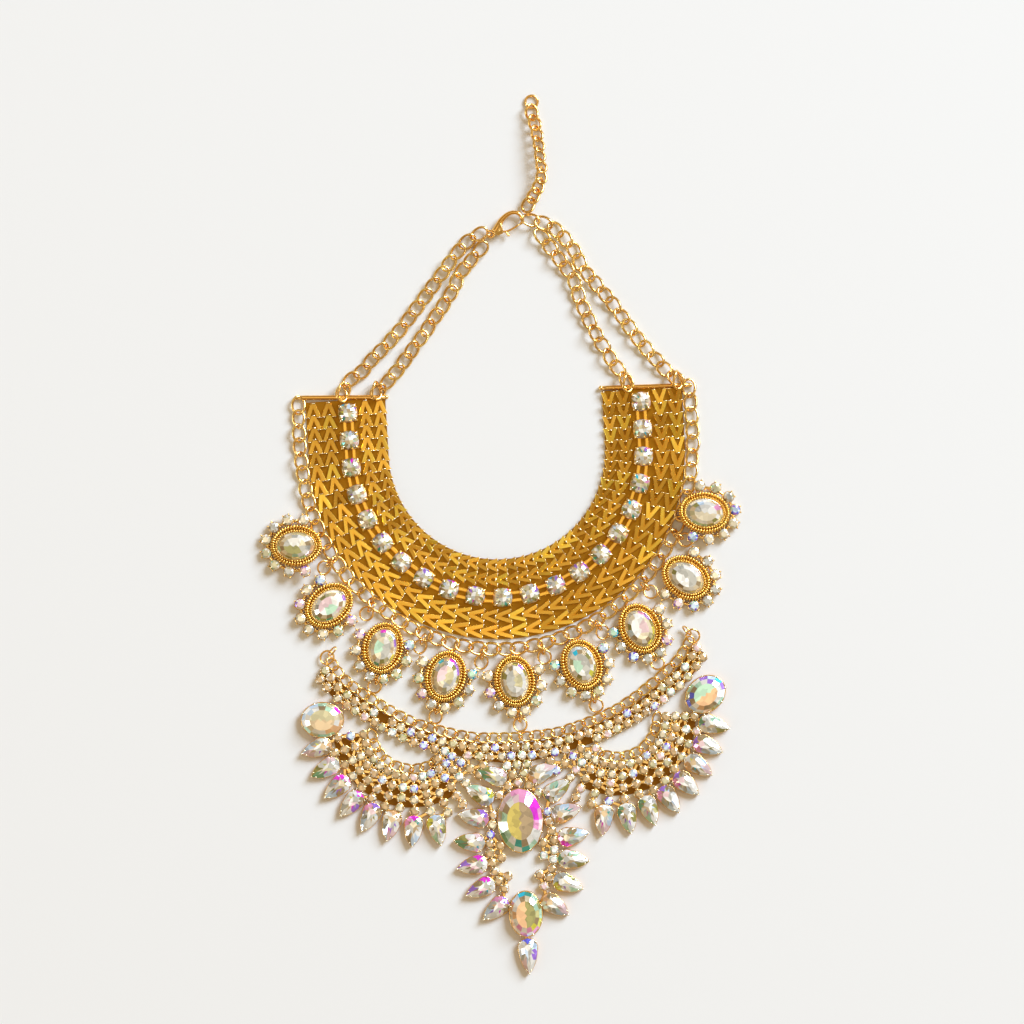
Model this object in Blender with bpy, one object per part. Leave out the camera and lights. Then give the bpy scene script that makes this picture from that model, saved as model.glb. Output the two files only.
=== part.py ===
# Bib necklace with a woven collar, nine medallions and a jewelled fringe, lying face up
# on a flat surface at z = 0. The closed back is at +Y and the drop at -Y.

import math

import bmesh
import bpy
from mathutils import Matrix, Vector

CLEARANCE = 0.0003

# Collar: a U of two woven bands with a row of stones between them.
NECK_CENTRE_X = -0.0006
NECK_CENTRE_Y = 0.0357
NECK_RADIUS = 0.045
INNER_BAND_WIDTH = 0.0121
OUTER_BAND_WIDTH = 0.0130
RIGHT_LEG = 0.0215
LEFT_LEG = 0.0240
ROW_PITCH = 0.0051
ROW_LAP = 0.0007
BAND_VALLEY = 0.0011
BAND_RIDGE = 0.0023

COLLAR_STONES = 21
CUP_SIDE = 0.0082
CUP_HEIGHT = 0.0026
CUP_BAR_WIDTH = 0.0018
CUP_BAR_BOTTOM = 0.0004
CUP_BAR_TOP = 0.0016
COLLAR_STONE_RADIUS = 0.0039
COLLAR_STONE_HEIGHT = 0.0048

BAR_RADIUS = 0.0010
BAR_OVERHANG = 0.0035
LEFT_BAR_TILT = math.radians(-3.0)
RIGHT_BAR_TILT = math.radians(-1.5)

# Chains
CHAIN_HALF_WIDTH = 0.0023
CHAIN_HALF_HEIGHT = 0.0011
FINE_CHAIN_HALF_WIDTH = 0.0017
FINE_CHAIN_HALF_HEIGHT = 0.0010
CHAIN_BEVEL_STEPS = 2
CHAIN_POINT_SPACING = 0.0120
FINE_CHAIN_POINT_SPACING = 0.0085
LINK_PITCH = 0.0051
LINK_HALF_LENGTH = 0.0032
LINK_HALF_WIDTH = 0.0022
LINK_TWIST = 0.00056
LINK_TILT = 0.06
LINK_WIRE_RADIUS = 0.0005
LINK_SIDES = 10
HOOKED_LINK_RADIUS = 0.0025
HOOKED_LINK_TILT = math.radians(-45)
RING_RADIUS = 0.0028
RING_WIRE_RADIUS = 0.0004
RING_SIDES = 10

# Medallions
MEDALLION_ANGLE = math.radians(-89.0)
MEDALLION_STEP = math.radians(17.25)
SETTING_HALF_LENGTH = 0.0112
SETTING_HALF_WIDTH = 0.0090
SETTING_RIM = 0.0025
SETTING_HEIGHT = 0.0036
SETTING_FLOOR = 0.0023
SETTING_TAPER = 0.02
ACCENT_RADIUS = 0.0026
ACCENT_OFFSET = 0.0021
HALO_BOTTOM = 0.0012
HALO_TOP = 0.0021
ACCENTS = 8
ACCENT_SPREAD = math.radians(105)
MEDALLION_STONE_HEIGHT = 0.0056

# Fringe. The swag hangs below the collar's chain, the medallions and their rings, with some
# slack, and the fans and the centre oval hang from the swag.
SWAG_SLACK = 0.0078
SWAG_SPREAD = math.radians(41.3)
FAN_BELOW_SWAG = 0.0019
FAN_ANGLE = math.radians(-69.3)
CENTRE_OVAL_BELOW_SWAG = 0.0349
LOWER_OVAL_DROP = 0.0393
FAN_CHAIN_ARC = 0.0168
FAN_OUTER_RADIUS = 0.0332
FAN_FIRST_ANGLE = math.radians(18)
FAN_LAST_ANGLE = math.radians(-118)
FAN_STATIONS = 9
FIELD_VALLEY = 0.0012
FIELD_RIDGE = 0.0028
SWAG_BAND_WIDTH = 0.0090
PEAR_LENGTH = 0.0134
PEAR_RADIUS = 0.00355
PEAR_GIRDLE = 0.0023
PEAR_HEIGHT = 0.0043
PEAR_TABLE = 0.5
FAN_PEAR_FIRST = math.radians(-7.6)
FAN_PEAR_STEP = math.radians(-13.36)
FAN_PEARS_BEYOND = 0.0042
DROP_LENGTH = 0.0154
DROP_RADIUS = 0.0042
BRIDGE_WIDTH = 0.0016
BRIDGE_BOTTOM = 0.0004
BRIDGE_TOP = 0.0016
OVAL_GIRDLE = 0.0026
OVAL_HEIGHT = 0.0056
OVAL_BEVEL = 0.0006
CENTRE_OVAL_HALF_LENGTH = 0.01375
CENTRE_OVAL_HALF_WIDTH = 0.00975
LOWER_OVAL_HALF_LENGTH = 0.00985
LOWER_OVAL_HALF_WIDTH = 0.0072
SIDE_OVAL_HALF_LENGTH = 0.0092
SIDE_OVAL_HALF_WIDTH = 0.0076

# Clasp, in its own frame: x runs from the hinge end to the hook's far end.
CLASP_X = 0.0036
CLASP_Y = 0.1272
CLASP_TURN = math.radians(21.7)
CLASP_MIDDLE = 0.0022
CLASP_LENGTH = 0.0140
CLASP_ROOT_THICKNESS = 0.0030
CLASP_WIRE_THICKNESS = 0.0010
CLASP_SLOT = 0.0016
LEVER_THICKNESS = 0.0010
LEVER_HINGE_X = 0.0022
LEVER_HINGE_Y = -0.0004
LEVER_HUB_RADIUS = 0.0012
LEVER_BORE_RADIUS = 0.0007
HINGE_PIN_RADIUS = 0.0004
EYE_RADIUS = 0.0019
EYE_BORE_RADIUS = 0.0010
EYE_OVERLAP = 0.0004
SWIVEL_RING_RADIUS = 0.0017

# Routes of the chains, chosen by hand. The outer chain is given by how far it stands off
# the collar, and the swag by its hang as a share of that in the middle. Both run from the
# right end to the middle and are mirrored. The four back chains run from bar to clasp, and
# their first points follow the bar. The extender's points are given from the hooked link.
OUTER_CHAIN_SAG = (0.0002, 0.0006, 0.0004, 0.0, 0.0, 0.0, 0.0, 0.0002, 0.0008, 0.0012, 0.0014)
SWAG_SHARES = (0.830, 0.885, 0.905, 0.925, 0.950, 0.973, 0.985, 0.995, 1.005, 1.002, 1.0)
BACK_LEFT_OUTER_ROUTE = (
    (-0.0634, 0.0645), (-0.0605, 0.0688), (-0.0545, 0.0728), (-0.0500, 0.0778), (-0.0445, 0.0825),
    (-0.0375, 0.0895), (-0.0318, 0.0962), (-0.0265, 0.1025), (-0.0220, 0.1080), (-0.0175, 0.1135),
    (-0.0130, 0.1190), (-0.0085, 0.1236), (-0.0027, 0.1269),
)
BACK_LEFT_INNER_ROUTE = (
    (-0.0488, 0.0635), (-0.0450, 0.0670), (-0.0400, 0.0722), (-0.0345, 0.0790), (-0.0290, 0.0855),
    (-0.0237, 0.0925), (-0.0187, 0.0990), (-0.0145, 0.1050), (-0.0122, 0.1100), (-0.0078, 0.1150),
    (-0.0025, 0.1205),
)
BACK_RIGHT_INNER_ROUTE = (
    (0.0552, 0.0622), (0.0520, 0.0675), (0.0484, 0.0735), (0.0452, 0.0795), (0.0422, 0.0860),
    (0.0396, 0.0925), (0.0376, 0.0985), (0.0362, 0.1045), (0.0330, 0.1105), (0.0290, 0.1165),
    (0.0256, 0.1215), (0.0236, 0.1245),
)
BACK_RIGHT_OUTER_ROUTE = (
    (0.0760, 0.0618), (0.0720, 0.0655), (0.0680, 0.0705), (0.0640, 0.0755), (0.0600, 0.0812),
    (0.0560, 0.0875), (0.0515, 0.0945), (0.0468, 0.1010), (0.0425, 0.1065), (0.0395, 0.1110),
    (0.0372, 0.1170), (0.0335, 0.1225), (0.0290, 0.1274), (0.0240, 0.1302), (0.0191, 0.1316),
)
EXTENDER_ROUTE = (
    (0.0022, 0.0046), (0.0050, 0.0089), (0.0073, 0.0132), (0.0085, 0.0178), (0.0081, 0.0228),
    (0.0080, 0.0276), (0.0076, 0.0326), (0.0069, 0.0381), (0.0059, 0.0428), (0.0061, 0.0478),
)

# The back chains: their side and route, how far along the bar from its inner end each one
# starts, and where it ends, from the clasp's origin.
BACK_CHAINS = {
    "back_chain_left_outer": {
        "side": -1, "route": BACK_LEFT_OUTER_ROUTE, "start": 0.0178, "end": (-0.0063, -0.0003),
    },
    "back_chain_left_inner": {
        "side": -1, "route": BACK_LEFT_INNER_ROUTE, "start": 0.0032, "end": (-0.0061, -0.0067),
    },
    "back_chain_right_inner": {
        "side": 1, "route": BACK_RIGHT_INNER_ROUTE, "start": 0.0108, "end": (0.0200, -0.0027),
    },
    "back_chain_right_outer": {
        "side": 1, "route": BACK_RIGHT_OUTER_ROUTE, "start": 0.0316, "end": (0.0155, 0.0044),
    },
}

# Outlines of the clasp's pieces, in fourteenths of its length: the hook's arm and root in
# the clasp's frame, the lever and the slot cut for it from the hinge.
CLASP_ARM = (
    (1.6, 1.6), (4.8, 4.0), (8.5, 5.2), (11.5, 4.8), (13.5, 3.0), (14.0, 0.5), (13.3, -1.2),
    (12.4, -2.0), (11.4, -1.9), (11.4, -1.0), (12.1, -0.7), (12.6, 0.6), (12.2, 2.4), (10.8, 3.5),
    (8.5, 3.8), (5.8, 2.8), (3.4, 1.4),
)
CLASP_ROOT = (
    (-0.4, -0.9), (1.2, -1.9), (3.2, -1.9), (3.9, -0.6), (4.3, 2.2), (3.4, 2.9), (1.6, 1.9), (-0.4, 0.8),
)
CLASP_LEVER_ARM = (
    (0.8, -1.0), (2.0, -2.1), (2.4, -3.4), (3.3, -3.5), (3.6, -2.2), (6.0, -2.0), (8.8, -1.5),
    (8.8, -0.5), (5.5, -0.8), (0.9, 0.4),
)
LEVER_SLOT = ((-1.5, -4.0), (6.0, -4.0), (6.0, 2.4), (1.5, 1.5), (-1.5, 1.5))
HOOK_GRIP = 1.0  # how far above the clasp's axis the hooked link lies, in the same fourteenths

# Medallions from left to right: how far each hangs off the chain, or lies over it where
# that is below zero, and its own lean.
MEDALLIONS = (
    {"slack": -0.0024, "lean": math.radians(-24)},
    {"slack": 0.0003, "lean": math.radians(-5)},
    {"slack": 0.0, "lean": math.radians(18)},
    {"slack": 0.0004, "lean": math.radians(-1)},
    {"slack": 0.0, "lean": math.radians(3)},
    {"slack": 0.0, "lean": math.radians(-2)},
    {"slack": 0.0, "lean": math.radians(-12)},
    {"slack": 0.0, "lean": math.radians(-1)},
    {"slack": -0.0052, "lean": math.radians(9)},
)
MEDALLIONS_WITH_LOWER_RING = (3, 4, 5, 6, 7)

# Pears of one fan, from the side oval inwards: extra distance as a share of the fan's pear
# radius, and how far the tip turns from straight out.
FAN_PEARS = (
    {"extra": 0.020, "turn": math.radians(-9)},
    {"extra": 0.000, "turn": math.radians(-5)},
    {"extra": 0.000, "turn": math.radians(-3)},
    {"extra": 0.015, "turn": math.radians(3)},
    {"extra": 0.030, "turn": math.radians(2)},
    {"extra": 0.040, "turn": math.radians(2)},
    {"extra": 0.075, "turn": math.radians(6)},
    {"extra": 0.100, "turn": math.radians(2)},
)

# Pears beside the centre, right side, from the top: places as shares of the centre oval's
# length, across from and up from its middle, and the direction of the tip.
CENTRE_PEARS = (
    {"across": 0.305, "up": 0.680, "turn": math.radians(23)},
    {"across": 0.520, "up": 0.390, "turn": math.radians(34)},
    {"across": 0.622, "up": 0.065, "turn": math.radians(15)},
    {"across": 0.700, "up": -0.298, "turn": math.radians(8)},
    {"across": 0.680, "up": -0.632, "turn": math.radians(-9)},
    {"across": 0.585, "up": -0.970, "turn": math.radians(-23)},
    {"across": 0.385, "up": -1.275, "turn": math.radians(-38)},
)

# Stone rows that run down beside the centre oval, right side: places and half widths as
# shares of the centre oval's length.
CENTRE_ROWS = (
    {"across": 0.085, "up": 0.910, "half": 0.070},
    {"across": 0.150, "up": 0.720, "half": 0.080},
    {"across": 0.285, "up": 0.560, "half": 0.080},
    {"across": 0.405, "up": 0.320, "half": 0.080},
    {"across": 0.455, "up": 0.030, "half": 0.080},
    {"across": 0.475, "up": -0.290, "half": 0.095},
    {"across": 0.480, "up": -0.580, "half": 0.118},
    {"across": 0.425, "up": -0.870, "half": 0.125},
    {"across": 0.330, "up": -1.130, "half": 0.115},
    {"across": 0.285, "up": -1.300, "half": 0.080},
)

# Ovals at the fans' outer ends: places from the fan's centre as shares of its pear radius.
SIDE_OVALS = (
    {"name": "side_oval_left", "side": -1, "across": 0.992, "up": 0.163, "turn": math.radians(-3)},
    {"name": "side_oval_right", "side": 1, "across": 1.000, "up": 0.195, "turn": math.radians(34)},
)

# What follows from the sizes above.
STONE_ROW_RADIUS = NECK_RADIUS + INNER_BAND_WIDTH + CLEARANCE + CUP_SIDE / 2
OUTER_BAND_RADIUS = STONE_ROW_RADIUS + CUP_SIDE / 2 + 2 * CLEARANCE
COLLAR_EDGE = OUTER_BAND_RADIUS + OUTER_BAND_WIDTH
COLLAR_LENGTH = RIGHT_LEG + math.pi * STONE_ROW_RADIUS + LEFT_LEG
SWAG_BAND_INNER = FINE_CHAIN_HALF_WIDTH + CLEARANCE
RING_REACH = RING_RADIUS + RING_WIRE_RADIUS
SWAG_HANG = 2 * (CHAIN_HALF_WIDTH + SETTING_HALF_LENGTH + RING_REACH) + SWAG_SLACK
SWAG_RADIUS = COLLAR_EDGE + SWAG_HANG
FAN_CENTRE_X = (SWAG_RADIUS + FAN_BELOW_SWAG) * math.cos(FAN_ANGLE)
FAN_CENTRE_Y = NECK_CENTRE_Y + (SWAG_RADIUS + FAN_BELOW_SWAG) * math.sin(FAN_ANGLE)
FAN_PEAR_RADIUS = FAN_OUTER_RADIUS + FAN_PEARS_BEYOND
CENTRE_OVAL_Y = NECK_CENTRE_Y - SWAG_RADIUS - CENTRE_OVAL_BELOW_SWAG
CENTRE_OVAL_LENGTH = 2 * CENTRE_OVAL_HALF_LENGTH
LOWER_OVAL_Y = CENTRE_OVAL_Y - LOWER_OVAL_DROP
CLASP_UNIT = CLASP_LENGTH / 14

MATERIALS = {
    "gold": {"colour": (0.72, 0.42, 0.10, 1), "metallic": 1.0, "roughness": 0.28},
    "collar_gold": {"colour": (0.62, 0.36, 0.05, 1), "metallic": 1.0, "roughness": 0.38},
    "crystal": {"colour": (0.78, 0.80, 0.66, 1), "metallic": 0.3, "roughness": 0.06},
}


def clear_scene():
    for old in list(bpy.data.objects):
        bpy.data.objects.remove(old, do_unlink=True)


def make_materials():
    for name, look in MATERIALS.items():
        material = bpy.data.materials.new(name)
        material.use_nodes = True
        shader = material.node_tree.nodes["Principled BSDF"]
        shader.inputs["Base Color"].default_value = look["colour"]
        shader.inputs["Metallic"].default_value = look["metallic"]
        shader.inputs["Roughness"].default_value = look["roughness"]


def collection_named(name):
    found = bpy.data.collections.get(name)
    if found is None:
        found = bpy.data.collections.new(name)
        bpy.context.scene.collection.children.link(found)
    return found


def mesh_object(name, shape, material, collection="bib_necklace"):
    """Turns a bmesh into an object of the named collection."""
    bmesh.ops.recalc_face_normals(shape, faces=shape.faces)
    mesh = bpy.data.meshes.new(name)
    shape.to_mesh(mesh)
    shape.free()
    mesh.materials.append(bpy.data.materials[material])
    made = bpy.data.objects.new(name, mesh)
    collection_named(collection).objects.link(made)
    return made


def helper_object(name, shape, material):
    made = mesh_object(name, shape, material, "helpers")
    made.hide_render = True
    made.display_type = "WIRE"
    return made


def combine(target, shape, material, operation):
    number = len(target.modifiers) + 1
    modifier = target.modifiers.new(f"{operation.lower()}_{number}", "BOOLEAN")
    modifier.operation = operation
    modifier.object = helper_object(f"{target.name}_{modifier.name}", shape, material)


def fused_object(name, layers, material, cutters=()):
    """One solid: the first layer joined to the others, less the cutters."""
    made = mesh_object(name, layers[0], material)
    for layer in layers[1:]:
        combine(made, layer, material, "UNION")
    for cutter in cutters:
        combine(made, cutter, material, "DIFFERENCE")
    return made


def placed(x, y, turn=0.0, z=0.0):
    return Matrix.Translation((x, y, z)) @ Matrix.Rotation(turn, 4, "Z")


def oval_outline(half_length, half_width, sides):
    step = 2 * math.pi / sides
    return [(half_length * math.cos(i * step), half_width * math.sin(i * step)) for i in range(sides)]


def round_outline(radius, sides):
    turn = math.pi / sides
    return [
        (radius * math.cos(2 * turn * i + turn), radius * math.sin(2 * turn * i + turn))
        for i in range(sides)
    ]


def box_outline(half_x, half_y):
    return [(-half_x, -half_y), (half_x, -half_y), (half_x, half_y), (-half_x, half_y)]


def pear_outline(length, radius):
    """A round end about the origin and a tip on +X, with sides that bulge a little."""
    tip = length - radius
    shoulder = math.acos(radius / tip)
    arc = [shoulder + i * (2 * math.pi - 2 * shoulder) / 5 for i in range(6)]
    points = [(radius * math.cos(a), radius * math.sin(a)) for a in arc]
    side_x = 0.55 * (points[0][0] + tip)
    side_y = 0.57 * radius
    return [(tip, 0.0), (side_x, side_y)] + points + [(side_x, -side_y)]


def widened(outline, extra):
    """The outline pushed out from its middle by an extra width."""
    return [
        tuple(Vector(point) + Vector(point).normalized() * extra) for point in outline
    ]


def add_stack(shape, outline, levels, place):
    """A solid raised from an outline. Each level is a height and the outline's scale there."""
    height, scale = levels[0]
    corners = [shape.verts.new((x * scale, y * scale, height)) for x, y in outline]
    top = shape.faces.new(corners)
    made = list(corners)
    for next_height, next_scale in levels[1:]:
        raised = bmesh.ops.extrude_face_region(shape, geom=[top])["geom"]
        new_verts = [item for item in raised if isinstance(item, bmesh.types.BMVert)]
        if len(made) > len(corners):
            shape.faces.remove(top)
        top = next(item for item in raised if isinstance(item, bmesh.types.BMFace))
        grow = next_scale / scale
        for vert in new_verts:
            vert.co = Vector((vert.co.x * grow, vert.co.y * grow, next_height))
        made += new_verts
        scale = next_scale
    bmesh.ops.transform(shape, matrix=place, verts=made)


def add_box(shape, start, end, width, bottom, top):
    """An upright bar between two points of the plan."""
    start, end = Vector(start), Vector(end)
    middle = (start + end) / 2
    turn = math.atan2(end.y - start.y, end.x - start.x)
    outline = box_outline((end - start).length / 2, width / 2)
    add_stack(shape, outline, [(bottom, 1.0), (top, 1.0)], placed(middle.x, middle.y, turn))


def add_relief_strip(shape, stations):
    """A strip on the surface. Each station is a line of top points across the strip, and
    each cell between stations is folded along its higher diagonal."""
    tops = [[shape.verts.new(point) for point in station] for station in stations]
    feet = [
        (shape.verts.new((s[0][0], s[0][1], 0.0)), shape.verts.new((s[-1][0], s[-1][1], 0.0)))
        for s in stations
    ]
    for here, there in zip(range(len(tops) - 1), range(1, len(tops))):
        for j in range(len(tops[0]) - 1):
            a, b = tops[here][j], tops[here][j + 1]
            d, c = tops[there][j], tops[there][j + 1]
            if a.co.z + c.co.z > b.co.z + d.co.z:
                cells = ((a, b, c), (a, c, d))
            else:
                cells = ((a, b, d), (b, c, d))
            for cell in cells:
                shape.faces.new(cell)
        shape.faces.new((feet[here][1], feet[here][0], feet[there][0], feet[there][1]))
        shape.faces.new((feet[here][0], tops[here][0], tops[there][0], feet[there][0]))
        shape.faces.new((tops[here][-1], feet[here][1], feet[there][1], tops[there][-1]))
    for end in (0, -1):
        shape.faces.new([*tops[end], feet[end][1], feet[end][0]])


def smooth_route(points, spacing):
    """Evenly spaced points on a smooth curve through the given ones."""
    nodes = [Vector(p) for p in points]
    nodes = [2 * nodes[0] - nodes[1]] + nodes + [2 * nodes[-1] - nodes[-2]]
    fine = []
    for a, b, c, d in zip(nodes, nodes[1:], nodes[2:], nodes[3:]):
        for i in range(16):
            t = i / 16
            fine.append(
                0.5
                * (2 * b + (c - a) * t + (2 * a - 5 * b + 4 * c - d) * t**2 + (3 * b - a - 3 * c + d) * t**3)
            )
    fine.append(nodes[-2])
    lengths = [0.0]
    for a, b in zip(fine, fine[1:]):
        lengths.append(lengths[-1] + (b - a).length)
    count = max(1, round(lengths[-1] / spacing))
    return [point_along(fine, lengths, lengths[-1] * i / count) for i in range(count + 1)]


def point_along(fine, lengths, distance):
    for a, b, start, end in zip(fine, fine[1:], lengths, lengths[1:]):
        if end >= distance:
            share = (distance - start) / (end - start) if end > start else 0.0
            return a.lerp(b, min(1.0, share))
    return fine[-1].copy()


def swag_points():
    """The swag chain's route, mirrored about the middle."""
    half = []
    for i, share in enumerate(SWAG_SHARES):
        angle = SWAG_SPREAD * (1 - i / (len(SWAG_SHARES) - 1)) - math.pi / 2
        distance = COLLAR_EDGE + SWAG_HANG * share
        half.append((distance * math.cos(angle), NECK_CENTRE_Y + distance * math.sin(angle)))
    return half + [(-x, y) for x, y in reversed(half[:-1])]


def distance_to_route(point, route):
    """Nearest distance from a point of the plan to a route."""
    nearest = math.inf
    for a, b in zip(route, route[1:]):
        along = b - a
        share = max(0.0, min(1.0, (point - a).dot(along) / along.length_squared))
        nearest = min(nearest, (point - a - along * share).length)
    return nearest


def flat_tube(name, route, half_width, half_height):
    """A lying chain's outer form: a flattened tube on points of its route."""
    curve = bpy.data.curves.new(name, "CURVE")
    curve.dimensions = "3D"
    curve.bevel_depth = half_width
    curve.bevel_resolution = CHAIN_BEVEL_STEPS
    curve.use_fill_caps = True
    spline = curve.splines.new("POLY")
    spline.points.add(len(route) - 1)
    for point, place in zip(spline.points, route):
        point.co = (place.x, place.y, 0.0, 1.0)
    curve.materials.append(bpy.data.materials["gold"])
    made = bpy.data.objects.new(name, curve)
    made.location.z = half_height
    made.scale.z = half_height / half_width
    collection_named("bib_necklace").objects.link(made)
    return made


def add_loop(shape, points, wire_radius, sides=5):
    """A closed loop of wire through the points."""
    count = len(points)
    rings = []
    for i, point in enumerate(points):
        ahead = (points[(i + 1) % count] - points[i - 1]).normalized()
        middle = sum(points, Vector((0, 0, 0))) / count
        outward = (point - middle).normalized()
        outward = (outward - ahead * outward.dot(ahead)).normalized()
        upward = ahead.cross(outward)
        rings.append(
            [
                shape.verts.new(
                    point
                    + wire_radius * math.cos(2 * math.pi * k / sides) * outward
                    + wire_radius * math.sin(2 * math.pi * k / sides) * upward
                )
                for k in range(sides)
            ]
        )
    for i in range(count):
        ring, following = rings[i], rings[(i + 1) % count]
        for k in range(sides):
            shape.faces.new((ring[k], ring[(k + 1) % sides], following[(k + 1) % sides], following[k]))


def round_loop(radius, sides, place):
    step = 2 * math.pi / sides
    return [
        place @ Vector((radius * math.cos(i * step), radius * math.sin(i * step), 0.0))
        for i in range(sides)
    ]


def curb_link(place):
    """A chain link whose ends are twisted, so that it lies flat through its neighbours."""
    points = []
    for i in range(LINK_SIDES):
        t = 2 * math.pi * (i + 0.5) / LINK_SIDES
        x = LINK_HALF_LENGTH * math.cos(t)
        y = LINK_HALF_WIDTH * math.sin(t)
        z = LINK_TWIST * math.sin(2 * t) + LINK_TILT * x
        points.append(place @ Vector((x, y, z)))
    return points


def on_collar(along, radius):
    """A point of the collar, by the distance along its stone row from the right end."""
    if along < RIGHT_LEG:
        return (NECK_CENTRE_X + radius, NECK_CENTRE_Y + RIGHT_LEG - along)
    angle = -(along - RIGHT_LEG) / STONE_ROW_RADIUS
    if angle > -math.pi:
        return (
            NECK_CENTRE_X + radius * math.cos(angle),
            NECK_CENTRE_Y + radius * math.sin(angle),
        )
    return (
        NECK_CENTRE_X - radius,
        NECK_CENTRE_Y + along - RIGHT_LEG - math.pi * STONE_ROW_RADIUS,
    )


def collar_heading(along):
    angle = -min(math.pi, max(0.0, (along - RIGHT_LEG) / STONE_ROW_RADIUS))
    return angle - math.pi / 2


def collar_band(name, inner, outer):
    """Rows of V-shaped plates side by side, each row lapping the next."""
    rows = round(COLLAR_LENGTH / ROW_PITCH)
    pitch = COLLAR_LENGTH / rows
    stations = []
    for row in range(rows):
        lap = ROW_LAP if row < rows - 1 else 0.0
        for along, first in ((row * pitch, 0), ((row + 1) * pitch - lap, 1)):
            station = []
            for j in range(5):
                x, y = on_collar(along, inner + (outer - inner) * j / 4)
                station.append((x, y, BAND_RIDGE if j % 2 == first else BAND_VALLEY))
            stations.append(station)
    shape = bmesh.new()
    add_relief_strip(shape, stations)
    return mesh_object(name, shape, "collar_gold")


def collar_stones():
    margin = CUP_SIDE / 2 + CLEARANCE
    step = (COLLAR_LENGTH - 2 * margin) / (COLLAR_STONES - 1)
    cups, stones, bars = bmesh.new(), bmesh.new(), bmesh.new()
    crown = [(CUP_HEIGHT - CLEARANCE, 1.0), (CUP_HEIGHT + 2 * CLEARANCE, 1.0), (COLLAR_STONE_HEIGHT, 0.58)]
    for i in range(COLLAR_STONES):
        along = margin + i * step
        x, y = on_collar(along, STONE_ROW_RADIUS)
        place = placed(x, y, collar_heading(along))
        add_stack(cups, box_outline(CUP_SIDE / 2, CUP_SIDE / 2), [(0.0, 1.0), (CUP_HEIGHT, 1.0)], place)
        add_stack(stones, round_outline(COLLAR_STONE_RADIUS, 8), crown, place)
        if i:
            reach = step - CUP_SIDE + 2 * CLEARANCE
            x, y = on_collar(along - step / 2, STONE_ROW_RADIUS)
            place = placed(x, y, collar_heading(along - step / 2))
            outline = box_outline(reach, CUP_BAR_WIDTH / 2)
            add_stack(bars, outline, [(CUP_BAR_BOTTOM, 1.0), (CUP_BAR_TOP, 1.0)], place)
    return fused_object("collar_stones", [cups, bars, stones], "crystal")


def end_bar(name, side, leg, tilt):
    """The rod that a woven end and two back chains hang on. Returns its lower line."""
    half = (COLLAR_EDGE + BAR_OVERHANG - NECK_RADIUS) / 2
    x = NECK_CENTRE_X + side * (NECK_RADIUS + half)
    y = NECK_CENTRE_Y + leg + CLEARANCE + BAR_RADIUS + half * abs(math.sin(tilt))
    bpy.ops.mesh.primitive_cylinder_add(vertices=12, radius=BAR_RADIUS, depth=2 * half)
    made = bpy.context.object
    made.name = name
    made.matrix_world = placed(x, y, tilt, BAR_RADIUS) @ Matrix.Rotation(math.pi / 2, 4, "Y")
    made.data.materials.append(bpy.data.materials["gold"])
    for old in list(made.users_collection):
        old.objects.unlink(made)
    collection_named("bib_necklace").objects.link(made)

    def height_at(place_x):
        return y + (place_x - x) * math.tan(tilt)

    return height_at


def back_chain(name, row, bar_height):
    """A strand from a bar to the clasp, its square end just clear of the bar. Its points
    move with the bar at one end and with the clasp at the other."""
    route = [Vector(point) for point in row["route"]]
    corner = CHAIN_HALF_WIDTH * abs((route[1] - route[0]).normalized().x)
    start = Vector((NECK_CENTRE_X + row["side"] * (NECK_RADIUS + row["start"]), 0.0))
    start.y = bar_height(start.x) + BAR_RADIUS + CLEARANCE + corner
    end_shift = Vector((CLASP_X, CLASP_Y)) + Vector(row["end"]) - route[-1]
    start_shift = (start.x - route[0].x, 0.0)
    for i in range(1, len(route)):
        share = i / (len(route) - 1)
        route[i] += Vector(start_shift) * (1 - share) + end_shift * share
    points = smooth_route([start, *route[1:]], CHAIN_POINT_SPACING)
    flat_tube(name, points, CHAIN_HALF_WIDTH, CHAIN_HALF_HEIGHT)


def outer_chain_points():
    """The chain round the collar's outer edge, from the right bar to the left one."""
    sags = OUTER_CHAIN_SAG + OUTER_CHAIN_SAG[-2::-1]
    points = []
    for i, sag in enumerate(sags):
        along = COLLAR_LENGTH * i / (len(sags) - 1)
        points.append(on_collar(along, COLLAR_EDGE + CLEARANCE + CHAIN_HALF_WIDTH + sag))
    return smooth_route(points, CHAIN_POINT_SPACING)


def polar(angle, distance):
    return Vector(
        (NECK_CENTRE_X + distance * math.cos(angle), NECK_CENTRE_Y + distance * math.sin(angle))
    )


def clear_of_route(angle, route, gap, start):
    """The distance from the neck's centre, on a ray, at which a round thing clears a route."""
    distance = start
    while distance_to_route(polar(angle, distance), route) < gap:
        distance += CLEARANCE / 3
    return distance


def medallion_place(number, outer_route):
    """The middle of a medallion and the direction of its outer end."""
    row = MEDALLIONS[number - 1]
    angle = MEDALLION_ANGLE + MEDALLION_STEP * (number - (len(MEDALLIONS) + 1) / 2)
    reach = math.hypot(
        SETTING_HALF_LENGTH * math.cos(row["lean"]), SETTING_HALF_WIDTH * math.sin(row["lean"])
    )
    gap = CHAIN_HALF_WIDTH + CLEARANCE + reach
    start = COLLAR_EDGE + CHAIN_HALF_WIDTH
    distance = clear_of_route(angle, outer_route, gap, start) + row["slack"]
    return polar(angle, distance), angle + row["lean"], angle


def medallion_frame(centre, turn, over_chain):
    """Where a medallion lies. One that lies over the chain is tipped up at its inner end."""
    flat = placed(centre.x, centre.y, turn)
    if not over_chain:
        return flat
    reach = 2 * SETTING_HALF_LENGTH - 2 * CHAIN_HALF_WIDTH
    tip = math.asin((2 * CHAIN_HALF_HEIGHT + CLEARANCE) / reach)
    pivot = Matrix.Translation((SETTING_HALF_LENGTH, 0.0, 0.0))
    return flat @ pivot @ Matrix.Rotation(tip, 4, "Y") @ pivot.inverted()


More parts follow.
